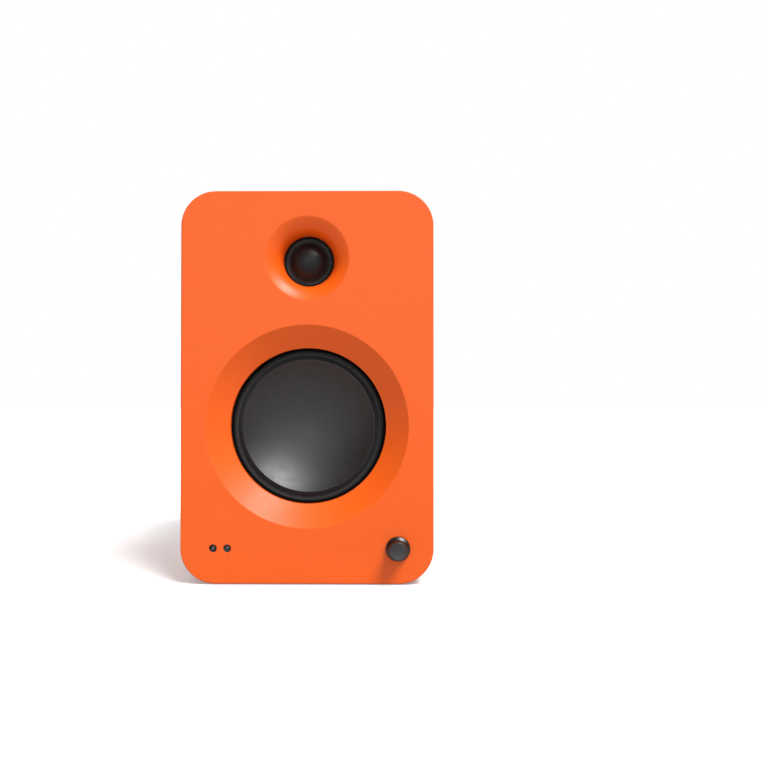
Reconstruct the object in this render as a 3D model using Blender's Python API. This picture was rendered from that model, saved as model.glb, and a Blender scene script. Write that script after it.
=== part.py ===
"""A powered bookshelf speaker: cabinet, two drive units, volume control and rear amplifier plate.

Metres, +Z up. The front faces -Y. The origin is under the middle of the whole object, on the
surface it stands on. Depths are counted back from the front face, heights up from the cabinet's
underside, and every turned piece has its axis along Y through its own origin.
"""

import math

import bmesh
import bpy
from mathutils import Vector

# ---- Driving dimensions ---------------------------------------------------------------------
WIDTH, HEIGHT, DEPTH = 0.188, 0.292, 0.236
CORNER = 0.026  # radius of the cabinet's four long corners
WALL = 0.012
FIT = 0.0003  # gap between pieces that touch
EDGE = 0.001  # chamfer round the front face
FASCIA = 0.020  # thickness of the front panel that carries both flares
BOARD = 0.012  # thickness of the inner boards

WOOFER_HEIGHT = 0.1166
FLARE_RADIUS, FLARE_DEPTH = 0.0756, 0.011
WOOFER_OPENING = 0.0585
WOOFER_FLANGE = 0.070
CONE_RADIUS, CONE_CURVATURE, CONE_DEPTH, CONE_THICK = 0.0506, 0.078, 0.0146, 0.0006
ROLL_RADIUS, ROLL_WIDTH = 0.0543, 0.0058
COIL_RADIUS = 0.0127

TWEETER_HEIGHT = 0.2418
WAVEGUIDE_RADIUS, WAVEGUIDE_DEPTH = 0.0313, 0.0165
TWEETER_OPENING = 0.0191
TWEETER_FLANGE = 0.036
DOME_RADIUS, DOME_RISE = 0.0135, 0.0045

CONTROL_HEIGHT = 0.0262
KNOB_X, KNOB_RADIUS, KNOB_PROUD = 0.0675, 0.00915, 0.0125
LED_X, SENSOR_X, WINDOW_RADIUS = -0.0591, -0.0697, 0.0029
POCKET_DEPTH = 0.009  # front wall left over the control board's pocket

PORT_HEIGHT, PORT_BORE, PORT_LENGTH = 0.232, 0.020, 0.118
PORT_FLANGE = 0.034

PLATE_WIDTH, PLATE_HEIGHT, PLATE_MIDDLE, PLATE = 0.150, 0.164, 0.104, 0.003
CUTOUT_WIDTH, CUTOUT_HEIGHT = 0.130, 0.144
SIGNAL_ROW, DIGITAL_ROW, MAINS_ROW = 0.160, 0.124, 0.048
POST_X = {"red": 0.033, "black": 0.052}
POST_PROUD = 0.022  # how far the terminal caps stand off the rear face
RCA_X = (-0.014, -0.032, -0.050)
OPTICAL_X, AUX_X, USB_X, HDMI_X = 0.050, 0.027, 0.002, -0.034
SWITCH_X, INLET_X = 0.042, -0.040

FOOT_RADIUS, FOOT_THICK, FOOT_PROUD = 0.008, 0.003, 0.0007
FOOT_X, FOOT_FRONT, FOOT_BACK = 0.060, 0.030, 0.206

RING, MEDIUM, SMALL = 36, 24, 12  # sides of large, medium and small round pieces

# ---- Places worked out from them ------------------------------------------------------------
FRONT_Y = KNOB_PROUD - (KNOB_PROUD + DEPTH + POST_PROUD) / 2
SUB_BAFFLE = FASCIA + FIT  # depth of the sub-baffle's front
FLANGE_FRONT = 0.0163  # depth of the woofer flange's front
MAGNET_FRONT = 0.050  # depth where the woofer's top plate starts
REAR_PANEL = DEPTH - BOARD
PLATE_INNER = DEPTH - PLATE
CIRCUIT_BACK = PLATE_INNER - 0.0143  # depth of the amplifier board's rear face
CIRCUIT = 0.0016  # thickness of a circuit board

# ---- Colours: linear red, green, blue; roughness; metallic ----------------------------------
FINISHES = {
    "orange_paint": ((1.0, 0.16, 0.03), 0.55, 0.0),
    "raw_board": ((0.42, 0.29, 0.17), 0.9, 0.0),
    "black_cone": ((0.07, 0.07, 0.07), 0.4, 0.8),
    "black_rubber": ((0.02, 0.02, 0.02), 0.6, 0.0),
    "black_plastic": ((0.03, 0.03, 0.03), 0.5, 0.0),
    "black_foam": ((0.03, 0.03, 0.035), 1.0, 0.0),
    "black_silk": ((0.03, 0.03, 0.03), 0.8, 0.0),
    "spider_cloth": ((0.55, 0.34, 0.1), 0.9, 0.0),
    "black_metal": ((0.03, 0.03, 0.03), 0.45, 0.6),
    "knob_metal": ((0.06, 0.06, 0.06), 0.35, 0.9),
    "plated_steel": ((0.6, 0.6, 0.6), 0.3, 1.0),
    "bright_aluminium": ((0.7, 0.7, 0.7), 0.4, 1.0),
    "ferrite": ((0.06, 0.06, 0.065), 0.7, 0.2),
    "copper_wire": ((0.8, 0.35, 0.15), 0.35, 1.0),
    "circuit_green": ((0.02, 0.16, 0.06), 0.5, 0.0),
    "gold_plate": ((0.85, 0.6, 0.2), 0.25, 1.0),
    "red_plastic": ((0.6, 0.02, 0.02), 0.4, 0.0),
    "smoked_lens": ((0.03, 0.02, 0.02), 0.15, 0.0),
    "clear_lens": ((0.6, 0.6, 0.6), 0.15, 0.0),
    "lead_jacket": ((0.02, 0.02, 0.02), 0.5, 0.0),
}


# ---- Tools ----------------------------------------------------------------------------------
def clear_scene():
    for old in list(bpy.data.objects):
        bpy.data.objects.remove(old)


def finish(name):
    """The named material, made the first time it is asked for."""
    found = bpy.data.materials.get(name)
    if found:
        return found
    colour, roughness, metallic = FINISHES[name]
    made = bpy.data.materials.new(name)
    made.use_nodes = True
    shader = made.node_tree.nodes["Principled BSDF"]
    shader.inputs["Base Color"].default_value = (*colour, 1.0)
    shader.inputs["Roughness"].default_value = roughness
    shader.inputs["Metallic"].default_value = metallic
    return made


def placed(x=0.0, depth=0.0, height=0.0):
    """A point given as sideways place, depth behind the front and height above the underside."""
    return Vector((x, FRONT_Y + depth, FOOT_PROUD + height))


def add(name, shape, at, material):
    """An object from a bmesh, closed and facing out. With no material it is a hidden cutter."""
    bmesh.ops.recalc_face_normals(shape, faces=shape.faces)
    mesh = bpy.data.meshes.new(name)
    shape.to_mesh(mesh)
    shape.free()
    mesh.shade_smooth()
    mesh.set_sharp_from_angle(angle=math.radians(35))
    piece = bpy.data.objects.new(name, mesh)
    piece.location = at
    bpy.context.scene.collection.objects.link(piece)
    if material:
        mesh.materials.append(finish(material))
    else:
        piece.hide_render = True
        piece.display_type = "WIRE"
    return piece


def turned(name, profile, at, material=None, sides=RING):
    """A closed outline of (radius, depth) points spun about Y."""
    shape = bmesh.new()
    points = [shape.verts.new((radius, depth, 0.0)) for radius, depth in profile]
    edges = [
        shape.edges.new((a, b))
        for a, b in zip(points, points[1:] + points[:1])
        if a.co.x > 0 or b.co.x > 0
    ]
    bmesh.ops.spin(
        shape,
        geom=points + edges,
        cent=(0, 0, 0),
        axis=(0, 1, 0),
        angle=math.tau,
        steps=sides,
        use_merge=True,
    )
    bmesh.ops.remove_doubles(shape, verts=shape.verts, dist=1e-6)
    return add(name, shape, at, material)


def lofted(name, sections, at, material=None, hollow=False):
    """Skins (outline, depth) sections that have the same number of points. A hollow one joins
    its last section to its first, and any other is capped at both ends."""
    shape = bmesh.new()
    rings = [[shape.verts.new((x, depth, z)) for x, z in outline] for outline, depth in sections]
    pairs = list(zip(rings, rings[1:]))
    if hollow:
        pairs.append((rings[-1], rings[0]))
    else:
        shape.faces.new(rings[0])
        shape.faces.new(rings[-1])
    for near, far in pairs:
        for i in range(len(near)):
            j = (i + 1) % len(near)
            shape.faces.new((near[i], near[j], far[j], far[i]))
    return add(name, shape, at, material)


def arc(x, z, radius, start, end, steps):
    """Points along a circle's arc, in degrees, counted from +X towards +Z."""
    angles = [math.radians(start + (end - start) * i / steps) for i in range(steps + 1)]
    return [(x + radius * math.cos(a), z + radius * math.sin(a)) for a in angles]


def rounded(width, height, radius, steps=6):
    """A rectangle's outline about its middle, with round corners."""
    x, z = width / 2 - radius, height / 2 - radius
    corners = ((x, z, 0), (-x, z, 90), (-x, -z, 180), (x, -z, 270))
    return [p for cx, cz, a in corners for p in arc(cx, cz, radius, a, a + 90, steps)]


def slab(name, width, height, radius, thick, at, material=None, steps=6):
    """A plate with round corners, from its origin's depth back."""
    outline = rounded(width, height, radius, steps)
    return lofted(name, [(outline, 0), (outline, thick)], at, material)


def block(name, width, height, thick, at, material=None):
    """A plain box, from its origin's depth back."""
    x, z = width / 2, height / 2
    outline = [(x, z), (-x, z), (-x, -z), (x, -z)]
    return lofted(name, [(outline, 0), (outline, thick)], at, material)


def disc(name, radius, thick, at, material=None, sides=MEDIUM):
    return turned(name, [(0, 0), (radius, 0), (radius, thick), (0, thick)], at, material, sides)


def tube_profile(inner, outer, front, back):
    return [(inner, front), (outer, front), (outer, back), (inner, back)]


def combine(piece, operation, others):
    """One Boolean for each other object, which is then only a helper."""
    for other in others:
        step = piece.modifiers.new(other.name, "BOOLEAN")
        step.operation = operation
        step.object = other
        other.hide_render = True
        other.display_type = "WIRE"
    return piece


def cut(piece, *cutters):
    return combine(piece, "DIFFERENCE", cutters)


def weld(piece, *others):
    return combine(piece, "UNION", others)


def under_sphere(radius, curvature):
    """How far a sphere of that curvature rises above its rim of that radius."""
    return curvature - math.sqrt(curvature**2 - radius**2)


# ---- Cabinet --------------------------------------------------------------------------------
def cabinet():
    inner = (WIDTH - 2 * WALL, HEIGHT - 2 * WALL, CORNER - WALL)
    middle = HEIGHT / 2
    outside, inside = rounded(WIDTH, HEIGHT, CORNER), rounded(*inner)
    front = FASCIA + FIT
    shell = lofted(
        "cabinet_shell",
        [(outside, front), (outside, DEPTH), (inside, DEPTH), (inside, front)],
        placed(height=middle),
        "orange_paint",
        hollow=True,
    )
    for i, (x, depth) in enumerate(foot_places()):
        # A foot and its seat stand on Z, so both are turned about Y and then laid over.
        seat = disc(f"foot_seat_{i}", FOOT_RADIUS + FIT, 0.01, placed(x, depth), sides=SMALL)
        seat.location.z = FOOT_THICK + FIT
        seat.rotation_euler.x = -math.pi / 2
        cut(shell, seat)
        foot = turned(f"foot_{i + 1}", foot_profile(), placed(x, depth), "black_rubber", SMALL)
        foot.location.z = FOOT_THICK
        foot.rotation_euler.x = -math.pi / 2

    gap = 2 * FIT
    board = (inner[0] - gap, inner[1] - gap, inner[2] - FIT)
    sub_baffle(board, middle)
    rear_panel(board, middle)
    brace(board, middle)
    damping_foam(board, middle)


def foot_places():
    return [(x, depth) for depth in (FOOT_FRONT, FOOT_BACK) for x in (-FOOT_X, FOOT_X)]


def foot_profile():
    soft_edge = 0.0005
    return [
        (0, 0),
        (FOOT_RADIUS, 0),
        (FOOT_RADIUS, FOOT_THICK - soft_edge),
        (FOOT_RADIUS - soft_edge, FOOT_THICK),
        (0, FOOT_THICK),
    ]


def front_fascia():
    """The painted front panel, with both flares, the control pocket and its holes."""
    full = rounded(WIDTH, HEIGHT, CORNER)
    chamfered = rounded(WIDTH - 2 * EDGE, HEIGHT - 2 * EDGE, CORNER - EDGE)
    fascia = lofted(
        "front_fascia",
        [(chamfered, 0), (full, EDGE), (full, FASCIA)],
        placed(height=HEIGHT / 2),
        "orange_paint",
    )
    over = 0.001  # how far each cutter runs past the face it opens
    slope = (FLARE_RADIUS - WOOFER_OPENING) / FLARE_DEPTH
    rebate = WOOFER_FLANGE + 0.0008
    rebate_depth = FLANGE_FRONT - 0.0018
    woofer = [
        (0, -over),
        (FLARE_RADIUS + over * slope, -over),
        (WOOFER_OPENING, FLARE_DEPTH),
        (WOOFER_OPENING, rebate_depth),
        (rebate, rebate_depth),
        (rebate, FASCIA + over),
        (0, FASCIA + over),
    ]
    cut(fascia, turned("woofer_cut", woofer, placed(height=WOOFER_HEIGHT)))
    tweeter = [
        (0, -over),
        (WAVEGUIDE_RADIUS + over, -over),
        *waveguide_curve(steps=5),
        (TWEETER_OPENING, WAVEGUIDE_DEPTH + over),
        (TWEETER_FLANGE + 0.0005, WAVEGUIDE_DEPTH + over),
        (TWEETER_FLANGE + 0.0005, FASCIA + over),
        (0, FASCIA + over),
    ]
    cut(fascia, turned("tweeter_cut", tweeter, placed(height=TWEETER_HEIGHT), sides=MEDIUM))

    pocket_wall = FASCIA - POCKET_DEPTH + over
    pocket = block(
        "control_pocket", 0.158, 0.024, pocket_wall, placed(0.001, POCKET_DEPTH, CONTROL_HEIGHT)
    )
    bush_hole = disc("bush_hole", 0.00395, FASCIA, placed(KNOB_X, -over, CONTROL_HEIGHT), sides=SMALL)
    nut_seat = disc("nut_seat", 0.0076, 0.0035 + over, placed(KNOB_X, -over, CONTROL_HEIGHT))
    holes = [
        disc(f"window_hole_{i}", WINDOW_RADIUS, FASCIA, placed(x, -over, CONTROL_HEIGHT), sides=SMALL)
        for i, x in enumerate((LED_X, SENSOR_X))
    ]
    cut(fascia, pocket, bush_hole, nut_seat, *holes)


def waveguide_curve(steps):
    """From the front face in to the throat: shallow at the mouth, steep at the throat."""
    width, start = WAVEGUIDE_RADIUS - TWEETER_OPENING, math.radians(22)
    points = []
    for i in range(steps + 1):
        turn = start + (math.pi / 2 - start) * i / steps
        across = (math.sin(turn) - math.sin(start)) / (1 - math.sin(start))
        along = (math.cos(start) - math.cos(turn)) / math.cos(start)
        points.append((WAVEGUIDE_RADIUS - width * across, WAVEGUIDE_DEPTH * along))
    return points


def sub_baffle(board, middle):
    """The inner baffle that both drive units are screwed to."""
    panel = slab("sub_baffle", *board, BOARD, placed(0, SUB_BAFFLE, middle), "raw_board", steps=3)
    woofer_hole = disc(
        "woofer_hole", 0.0625, 2 * BOARD, placed(0, FASCIA - 0.003, WOOFER_HEIGHT), sides=RING
    )
    tweeter_hole = disc("tweeter_hole", 0.031, 2 * BOARD, placed(0, FASCIA - 0.003, TWEETER_HEIGHT))
    rebate = disc(
        "tweeter_rebate", TWEETER_FLANGE + 0.0005, 0.006, placed(0, 0.0172, TWEETER_HEIGHT)
    )
    slot = block("ribbon_slot", 0.026, 0.006, 2 * BOARD, placed(0, FASCIA - 0.003, CONTROL_HEIGHT))
    cut(panel, woofer_hole, tweeter_hole, rebate, slot)


def rear_panel(board, middle):
    panel = slab("rear_panel", *board, BOARD, placed(0, REAR_PANEL, middle), "orange_paint", steps=3)
    through = 3 * BOARD
    port_hole = disc("port_hole", 0.0305, through, placed(0, REAR_PANEL - BOARD, PORT_HEIGHT))
    port_rebate = disc(
        "port_rebate", PORT_FLANGE + FIT, through, placed(0, DEPTH - PLATE - FIT, PORT_HEIGHT)
    )
    opening = slab(
        "plate_opening",
        CUTOUT_WIDTH,
        CUTOUT_HEIGHT,
        0.006,
        through,
        placed(0, REAR_PANEL - BOARD, PLATE_MIDDLE),
        steps=3,
    )
    rebate = slab(
        "plate_rebate",
        PLATE_WIDTH + 2 * FIT,
        PLATE_HEIGHT + 2 * FIT,
        0.008 + FIT,
        through,
        placed(0, PLATE_INNER - FIT, PLATE_MIDDLE),
        steps=3,
    )
    cut(panel, port_hole, port_rebate, opening, rebate)
    for i, (x, height) in enumerate(screw_places()):
        hole = disc(f"pilot_{i}", 0.0019, 0.03, placed(x, REAR_PANEL + 0.001, height), sides=SMALL)
        cut(panel, hole)


def brace(board, middle):
    """The window brace half way back, with a bar between the woofer and the port."""
    depth, rim, bar = 0.100, 0.015, 0.014
    panel = slab("internal_brace", *board, BOARD, placed(0, depth, middle), "raw_board", steps=3)
    width = board[0] - 2 * rim
    lower_foot, split, top = WALL + rim, 0.190, HEIGHT - WALL - rim
    spans = ((lower_foot, split), (split + bar, top))
    for i, (low, high) in enumerate(spans):
        window = slab(
            f"brace_window_{i}",
            width,
            high - low,
            0.010,
            3 * BOARD,
            placed(0, depth - BOARD, (low + high) / 2),
            steps=2,
        )
        cut(panel, window)


def damping_foam(board, middle):
    """A ring of foam that lines the walls between the sub-baffle and the brace."""
    thick, front, back = 0.010, 0.040, 0.098
    width, height, radius = (side - FIT for side in board)
    outside = rounded(width, height, radius, 3)
    inside = rounded(width - 2 * thick, height - 2 * thick, radius - thick / 2, 3)
    sections = [(outside, front), (outside, back), (inside, back), (inside, front)]
    lofted("damping_foam", sections, placed(height=middle), "black_foam", hollow=True)


def port_tube():
    """The bass port: a long tube with a round mouth, a flush flange and a small inner flare."""
    flare, wall = 0.010, 0.002
    inner_end = DEPTH - PORT_LENGTH
    profile = [
        *arc(PORT_BORE + flare, DEPTH - flare, flare, 90, 180, 4),
        (PORT_BORE, inner_end + 0.010),
        (PORT_BORE + 0.004, inner_end),
        (PORT_BORE + 0.006, inner_end),
        (PORT_BORE + wall, inner_end + 0.012),
        (PORT_BORE + wall, REAR_PANEL - 0.002),
        (PORT_BORE + flare, DEPTH - PLATE),
        (PORT_FLANGE, DEPTH - PLATE),
        (PORT_FLANGE, DEPTH),
    ]
    turned("port_tube", profile, placed(height=PORT_HEIGHT), "black_plastic", MEDIUM)


# ---- Woofer ---------------------------------------------------------------------------------
def woofer():
    at = placed(height=WOOFER_HEIGHT)
    woofer_basket(at)
    gasket = tube_profile(0.0625, WOOFER_FLANGE, 0.0193, FASCIA)
    turned("woofer_gasket", gasket, at, "black_foam")
    turned("woofer_surround", surround_profile(), at, "black_rubber")
    turned("woofer_cone", cone_profile(), at, "black_cone")
    turned("woofer_spider", spider_profile(), at, "spider_cloth", MEDIUM)
    turned("woofer_voice_coil", coil_profile(), at, "copper_wire", MEDIUM)
    woofer_motor(at)


def woofer_basket(at):
    """A pressed frame: flange, six open spokes, a ledge for the spider and a rear seat."""
    sheet = 0.0015
    back = MAGNET_FRONT - FIT
    profile = [
        (WOOFER_FLANGE, FLANGE_FRONT),
        (WOOFER_FLANGE, FLANGE_FRONT + 0.0027),
        (0.0618, FLANGE_FRONT + 0.0027),
        (0.0605, 0.0235),
        (0.0452, 0.0440),
        (0.0400, 0.0460),
        (0.0385, back),
        (0.0165, back),
        (0.0165, back - sheet),
        (0.0370, back - sheet),
        (0.0385, 0.0443),
        (0.0430, 0.0425),
        (0.0585, 0.0225),
        (0.0590, FLANGE_FRONT),
    ]
    basket = turned("woofer_basket", profile, at, "black_metal", MEDIUM)
    windows, width, low, high = 6, 0.040, 0.0255, 0.0405
    for i in range(windows):
        angle = math.tau * (i + 0.5) / windows
        window = block(f"basket_window_{i}", width, 0.040, high - low, at.copy())
        window.location += Vector((0.056 * math.cos(angle), low, 0.056 * math.sin(angle)))
        window.rotation_euler.y = math.pi / 2 - angle
        cut(basket, window)


def surround_profile():
    """A half roll between an inner lip behind the cone's rim and an outer lip on the flange."""
    thick, lip = 0.0005, FLANGE_FRONT - FIT - 0.0005
    half, height, steps = ROLL_WIDTH / 2, 1.1, 4
    roll = [(ROLL_RADIUS + r, lip - height * rise) for r, rise in arc(0, 0, half, 180, 0, steps)]
    under = [
        (ROLL_RADIUS + r, lip + thick - height * rise)
        for r, rise in arc(0, 0, half - thick, 0, 180, steps)
    ]
    inner_lip, outer_lip = CONE_RADIUS - 0.0015, 0.0622
    glued = dish_depth(inner_lip) + CONE_THICK + FIT
    return [
        (inner_lip, glued),
        *roll,
        (outer_lip, lip),
        (outer_lip, lip + thick),
        *under,
        (inner_lip, glued + thick),
    ]


def dish_depth(radius):
    """The depth of the woofer cone's front at that radius."""
    sag = under_sphere(CONE_RADIUS, CONE_CURVATURE)
    return CONE_DEPTH + sag - under_sphere(radius, CONE_CURVATURE)


def cone_profile():
    """A one-piece dish, hollow towards the front like the inside of a sphere."""
    steps = 6
    radii = [CONE_RADIUS * i / steps for i in range(steps + 1)]
    front = [(r, dish_depth(r)) for r in radii]
    return front + [(r, depth + CONE_THICK) for r, depth in reversed(front)]


def spider_profile():
    """A corrugated disc from the coil former out to the basket's ledge."""
    inner, outer, middle, wave, thick = 0.0134, 0.0424, 0.0412, 0.0009, 0.0005
    folds = 6
    front = []
    for i in range(folds + 1):
        radius = inner + (outer - inner) * i / folds
        side = 0 if i in (0, folds) else (1 if i % 2 else -1)
        front.append((radius, middle + wave * side))
    return front + [(radius, depth + thick) for radius, depth in reversed(front)]


def coil_profile():
    """The former, with its winding as a thicker band inside the magnet gap."""
    inner, outer, winding = COIL_RADIUS - 0.0002, COIL_RADIUS + 0.0002, COIL_RADIUS + 0.0007
    front, wound, end = 0.0332, 0.0482, 0.0590
    return [
        (inner, front),
        (outer, front),
        (outer, wound),
        (winding, wound),
        (winding, end),
        (outer, end),
        (outer, end + 0.001),
        (inner, end + 0.001),
    ]


def woofer_motor(at):
    """Top plate, ring magnet and the yoke with its vented pole."""
    plate, magnet, back_plate = 0.006, 0.0145, 0.006
    gap_radius, pole, vent = 0.0140, 0.0120, 0.0035
    front = MAGNET_FRONT
    top = tube_profile(gap_radius, 0.038, front, front + plate)
    turned("woofer_top_plate", top, at, "plated_steel", MEDIUM)
    front += plate + FIT
    turned("woofer_magnet", tube_profile(0.0185, 0.040, front, front + magnet), at, "ferrite", MEDIUM)
    front += magnet + FIT
    yoke = [
        (vent, MAGNET_FRONT),
        (pole, MAGNET_FRONT),
        (pole, front),
        (0.037, front),
        (0.037, front + back_plate),
        (vent, front + back_plate),
    ]
    turned("woofer_yoke", yoke, at, "plated_steel", MEDIUM)


# ---- Tweeter --------------------------------------------------------------------------------
def tweeter():
    at = placed(height=TWEETER_HEIGHT)
    face, face_thick = 0.0180, 0.0049
    plate = tube_profile(0.0142, TWEETER_FLANGE, face, face + face_thick)
    turned("tweeter_faceplate", plate, at, "black_plastic", MEDIUM)
    turned("tweeter_dome", dome_profile(face - FIT), at, "black_silk", MEDIUM)
    turned("tweeter_surround", tweeter_roll(face - FIT), at, "black_rubber", MEDIUM)
    coil = [(0.0127, 0.0181), (0.0131, 0.0181), (0.0131, 0.0222), (0.0135, 0.0222)]
    coil += [(0.0135, 0.0252), (0.0127, 0.0252)]
    turned("tweeter_voice_coil", coil, at, "copper_wire", MEDIUM)

    front = face + face_thick + FIT
    top, magnet, back_plate, pole, vent = 0.0022, 0.0075, 0.004, 0.0122, 0.004
    yoke_front = front
    turned("tweeter_top_plate", tube_profile(0.0140, 0.029, front, front + top), at, "plated_steel", MEDIUM)
    front += top + FIT
    ring = tube_profile(0.0165, 0.030, front, front + magnet)
    turned("tweeter_magnet", ring, at, "ferrite", MEDIUM)
    front += magnet + FIT
    yoke = [
        (vent, yoke_front),
        (pole, yoke_front),
        (pole, front),
        (0.029, front),
        (0.029, front + back_plate),
        (vent, front + back_plate),
    ]
    turned("tweeter_yoke", yoke, at, "plated_steel", MEDIUM)
    front += back_plate + FIT
    wall, end = 0.002, front + 0.022
    chamber = [
        (0.020, front),
        (0.022, front),
        (0.022, end - wall),
        (0.019, end),
        (0, end),
        (0, end - wall),
        (0.020, end - wall),
    ]
    turned("tweeter_rear_chamber", chamber, at, "black_plastic", MEDIUM)


def dome_profile(base):
    """A spherical cap of coated silk, open behind."""
    thick, steps = 0.0004, 5
    curvature = (DOME_RADIUS**2 + DOME_RISE**2) / (2 * DOME_RISE)
    radii = [DOME_RADIUS * i / steps for i in range(steps + 1)]
    front = [(r, base - DOME_RISE + under_sphere(r, curvature) - thick) for r in radii]
    return front + [(r, depth + thick) for r, depth in reversed(front)]


def tweeter_roll(base):
    """The dome's own small half roll, with its lip on the faceplate."""
    thick, middle, half, steps = 0.0004, 0.0154, 0.0016, 4
    outer = [(middle + r, base - thick - rise) for r, rise in arc(0, 0, half, 180, 0, steps)]
    inner = [(middle + r, base - rise) for r, rise in arc(0, 0, half - thick, 0, 180, steps)]
    lip = 0.0186
    return [*outer, (lip, base - thick), (lip, base), *inner]


# ---- Front controls -------------------------------------------------------------------------
def controls():
    at = placed(KNOB_X, 0, CONTROL_HEIGHT)
    turned("volume_knob", knob_profile(), at, "knob_metal", MEDIUM)
    shaft = [(0, -0.009), (0.0027, -0.009), (0.0027, 0.0146), (0, 0.0146)]
    turned("encoder_shaft", shaft, at, "bright_aluminium", SMALL)
    turned("encoder_rotor", tube_profile(0.0031, 0.0050, 0.0112, 0.0142), at, "black_plastic", SMALL)
    encoder_body(at)
    board = placed(0.001, 0.0159, CONTROL_HEIGHT)
    block("control_board", 0.156, 0.0224, CIRCUIT, board, "circuit_green")
    for name, x, material in (
        ("status_lens", LED_X, "clear_lens"),
        ("sensor_window", SENSOR_X, "smoked_lens"),
    ):
        turned(name, window_profile(), placed(x, 0, CONTROL_HEIGHT), material, SMALL)


def knob_profile():
    """A thin skirt, a tapering grip, a small shoulder, a shallow dish in the face and a blind bore."""
    gap, skirt, root = 0.0008, 0.0012, 0.0083
    face, shoulder, dish = 0.0062, 0.0005, 0.0003
    bore, bore_end = 0.0030, 0.0093
    return [
        (0, dish - KNOB_PROUD),
        (face - 3 * shoulder, dish - KNOB_PROUD),
        (face - 2 * shoulder, -KNOB_PROUD),
        (face - shoulder, -KNOB_PROUD),
        (face, shoulder - KNOB_PROUD),
        (root, -gap - 2 * skirt),
        (KNOB_RADIUS, -gap - skirt),
        (KNOB_RADIUS, -gap),
        (bore, -gap),
        (bore, -bore_end),
        (0, -bore_end),
    ]


def encoder_body(at):
    """The rotary encoder's case with its threaded bush, hollow for the rotor and the shaft."""
    front, back = POCKET_DEPTH + FIT, 0.0156
    case = block("encoder_body", 0.0124, 0.0134, back - front, at.copy(), "black_plastic")
    case.location.y += front
    bush = turned("encoder_bush", tube_profile(0.0030, 0.0036, 0.0005, 0.0098), at, None, SMALL)
    bore = disc("encoder_bore", 0.0030, 0.020, at.copy(), sides=SMALL)
    cavity = disc("encoder_cavity", 0.0053, 0.0036, at + Vector((0, 0.0109, 0)), sides=SMALL)
    weld(case, bush)
    cut(case, bore, cavity)


def window_profile():
    """A light guide: a low dome in the front hole and a flange inside the pocket."""
    stem, flange, recess = WINDOW_RADIUS - FIT, 0.004, 0.0010
    return [
        (0, recess - 0.0003),
        (stem * 0.6, recess - 0.0002),
        (stem, recess + 0.0003),
        (stem, POCKET_DEPTH + FIT),
        (flange, POCKET_DEPTH + FIT),
        (flange, 0.011),
        (0, 0.011),
    ]


# ---- Amplifier ------------------------------------------------------------------------------
def screw_places():
    """The corner screws of the amplifier plate."""
    x, height = PLATE_WIDTH / 2 - 0.0055, PLATE_HEIGHT / 2 - 0.0055
    return [(sx * x, PLATE_MIDDLE + sz * height) for sz in (1, -1) for sx in (1, -1)]


def amplifier_plate():
    plate = slab(
        "amp_plate",
        PLATE_WIDTH,
        PLATE_HEIGHT,
        0.008,
        PLATE,
        placed(0, PLATE_INNER, PLATE_MIDDLE),
        "black_metal",
        steps=3,
    )
    front, long = PLATE_INNER - 0.002, 0.010

    def hole(name, x, height, radius):
        return disc(name, radius, long, placed(x, front, height), sides=SMALL)

    def window(name, x, height, width, tall, radius):
        return slab(name, width, tall, radius, long, placed(x, front, height), steps=1)

    cut(plate, *[hole(f"screw_hole_{i}", *place, 0.0021) for i, place in enumerate(screw_places())])
    cut(plate, *[hole(f"post_hole_{c}", x, SIGNAL_ROW, 0.0045) for c, x in POST_X.items()])
    cut(plate, *[hole(f"rca_hole_{i}", x, SIGNAL_ROW, 0.0053) for i, x in enumerate(RCA_X)])
    cut(
        plate,
        hole("aux_hole", AUX_X, DIGITAL_ROW, 0.0036),
        window("optical_hole", OPTICAL_X, DIGITAL_ROW, 0.0122, 0.0112, 0.0002),
        window("usb_hole", USB_X, DIGITAL_ROW, 0.0100, 0.0042, 0.0018),
        window("hdmi_hole", HDMI_X, DIGITAL_ROW, 0.0160, 0.0066, 0.0008),
        window("inlet_hole", INLET_X, MAINS_ROW, 0.0226, 0.0166, 0.001),
        window("switch_hole", SWITCH_X, MAINS_ROW, 0.0136, 0.0200, 0.001),
    )


def plate_screws():
    """Pan-head screws through the plate's corners."""
    head, stem, length = 0.0035, 0.0016, 0.0075
    profile = [
        (0, -0.0004),
        (0.0013, -0.0004),
        (0.0013, 0.0012),
        (0.0024, 0.0012),
        (head, 0.0002),
        (head, -0.0006),
        (stem, -0.0006),
        (stem, -length),
        (0, -length),
    ]
    lift = 0.0009
    for i, (x, height) in enumerate(screw_places()):
        at = placed(x, DEPTH + lift, height)
        turned(f"plate_screw_{i + 1}", profile, at, "black_metal", 8)


def terminals():
    """The two loudspeaker terminals: a fixed post, a loose washer and a screw cap on each."""
    for colour, x in POST_X.items():
        at = placed(x, DEPTH, SIGNAL_ROW)
        plastic = "red_plastic" if colour == "red" else "black_plastic"
        turned(f"terminal_post_{colour}", post_profile(), at, "gold_plate", SMALL)
        washer = tube_profile(0.0037, 0.0062, 0.0036, 0.0046)
        turned(f"terminal_washer_{colour}", washer, at, "gold_plate", SMALL)
        turned(f"terminal_cap_{colour}", cap_profile(), at, plastic, SMALL)


def post_profile():
    """An insulated collar on the plate, and a stud bored for a banana plug."""
    inner_end, nut = -0.012, (-0.0072, -PLATE - FIT)
    stud, bore, stud_end = 0.0032, 0.0021, 0.0190
    neck, collar, collar_end = 0.0041, 0.0080, 0.0033
    return [
        (0, inner_end),
        (0.0022, inner_end),
        (0.0022, nut[0]),
        (0.0058, nut[0]),
        (0.0058, nut[1]),
        (neck, nut[1]),
        (neck, FIT),
        (collar, FIT),
        (collar, collar_end),
        (stud, collar_end),
        (stud, stud_end),
        (bore, stud_end),
        (bore, 0.0045),
        (0, 0.0045),
    ]


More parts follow.
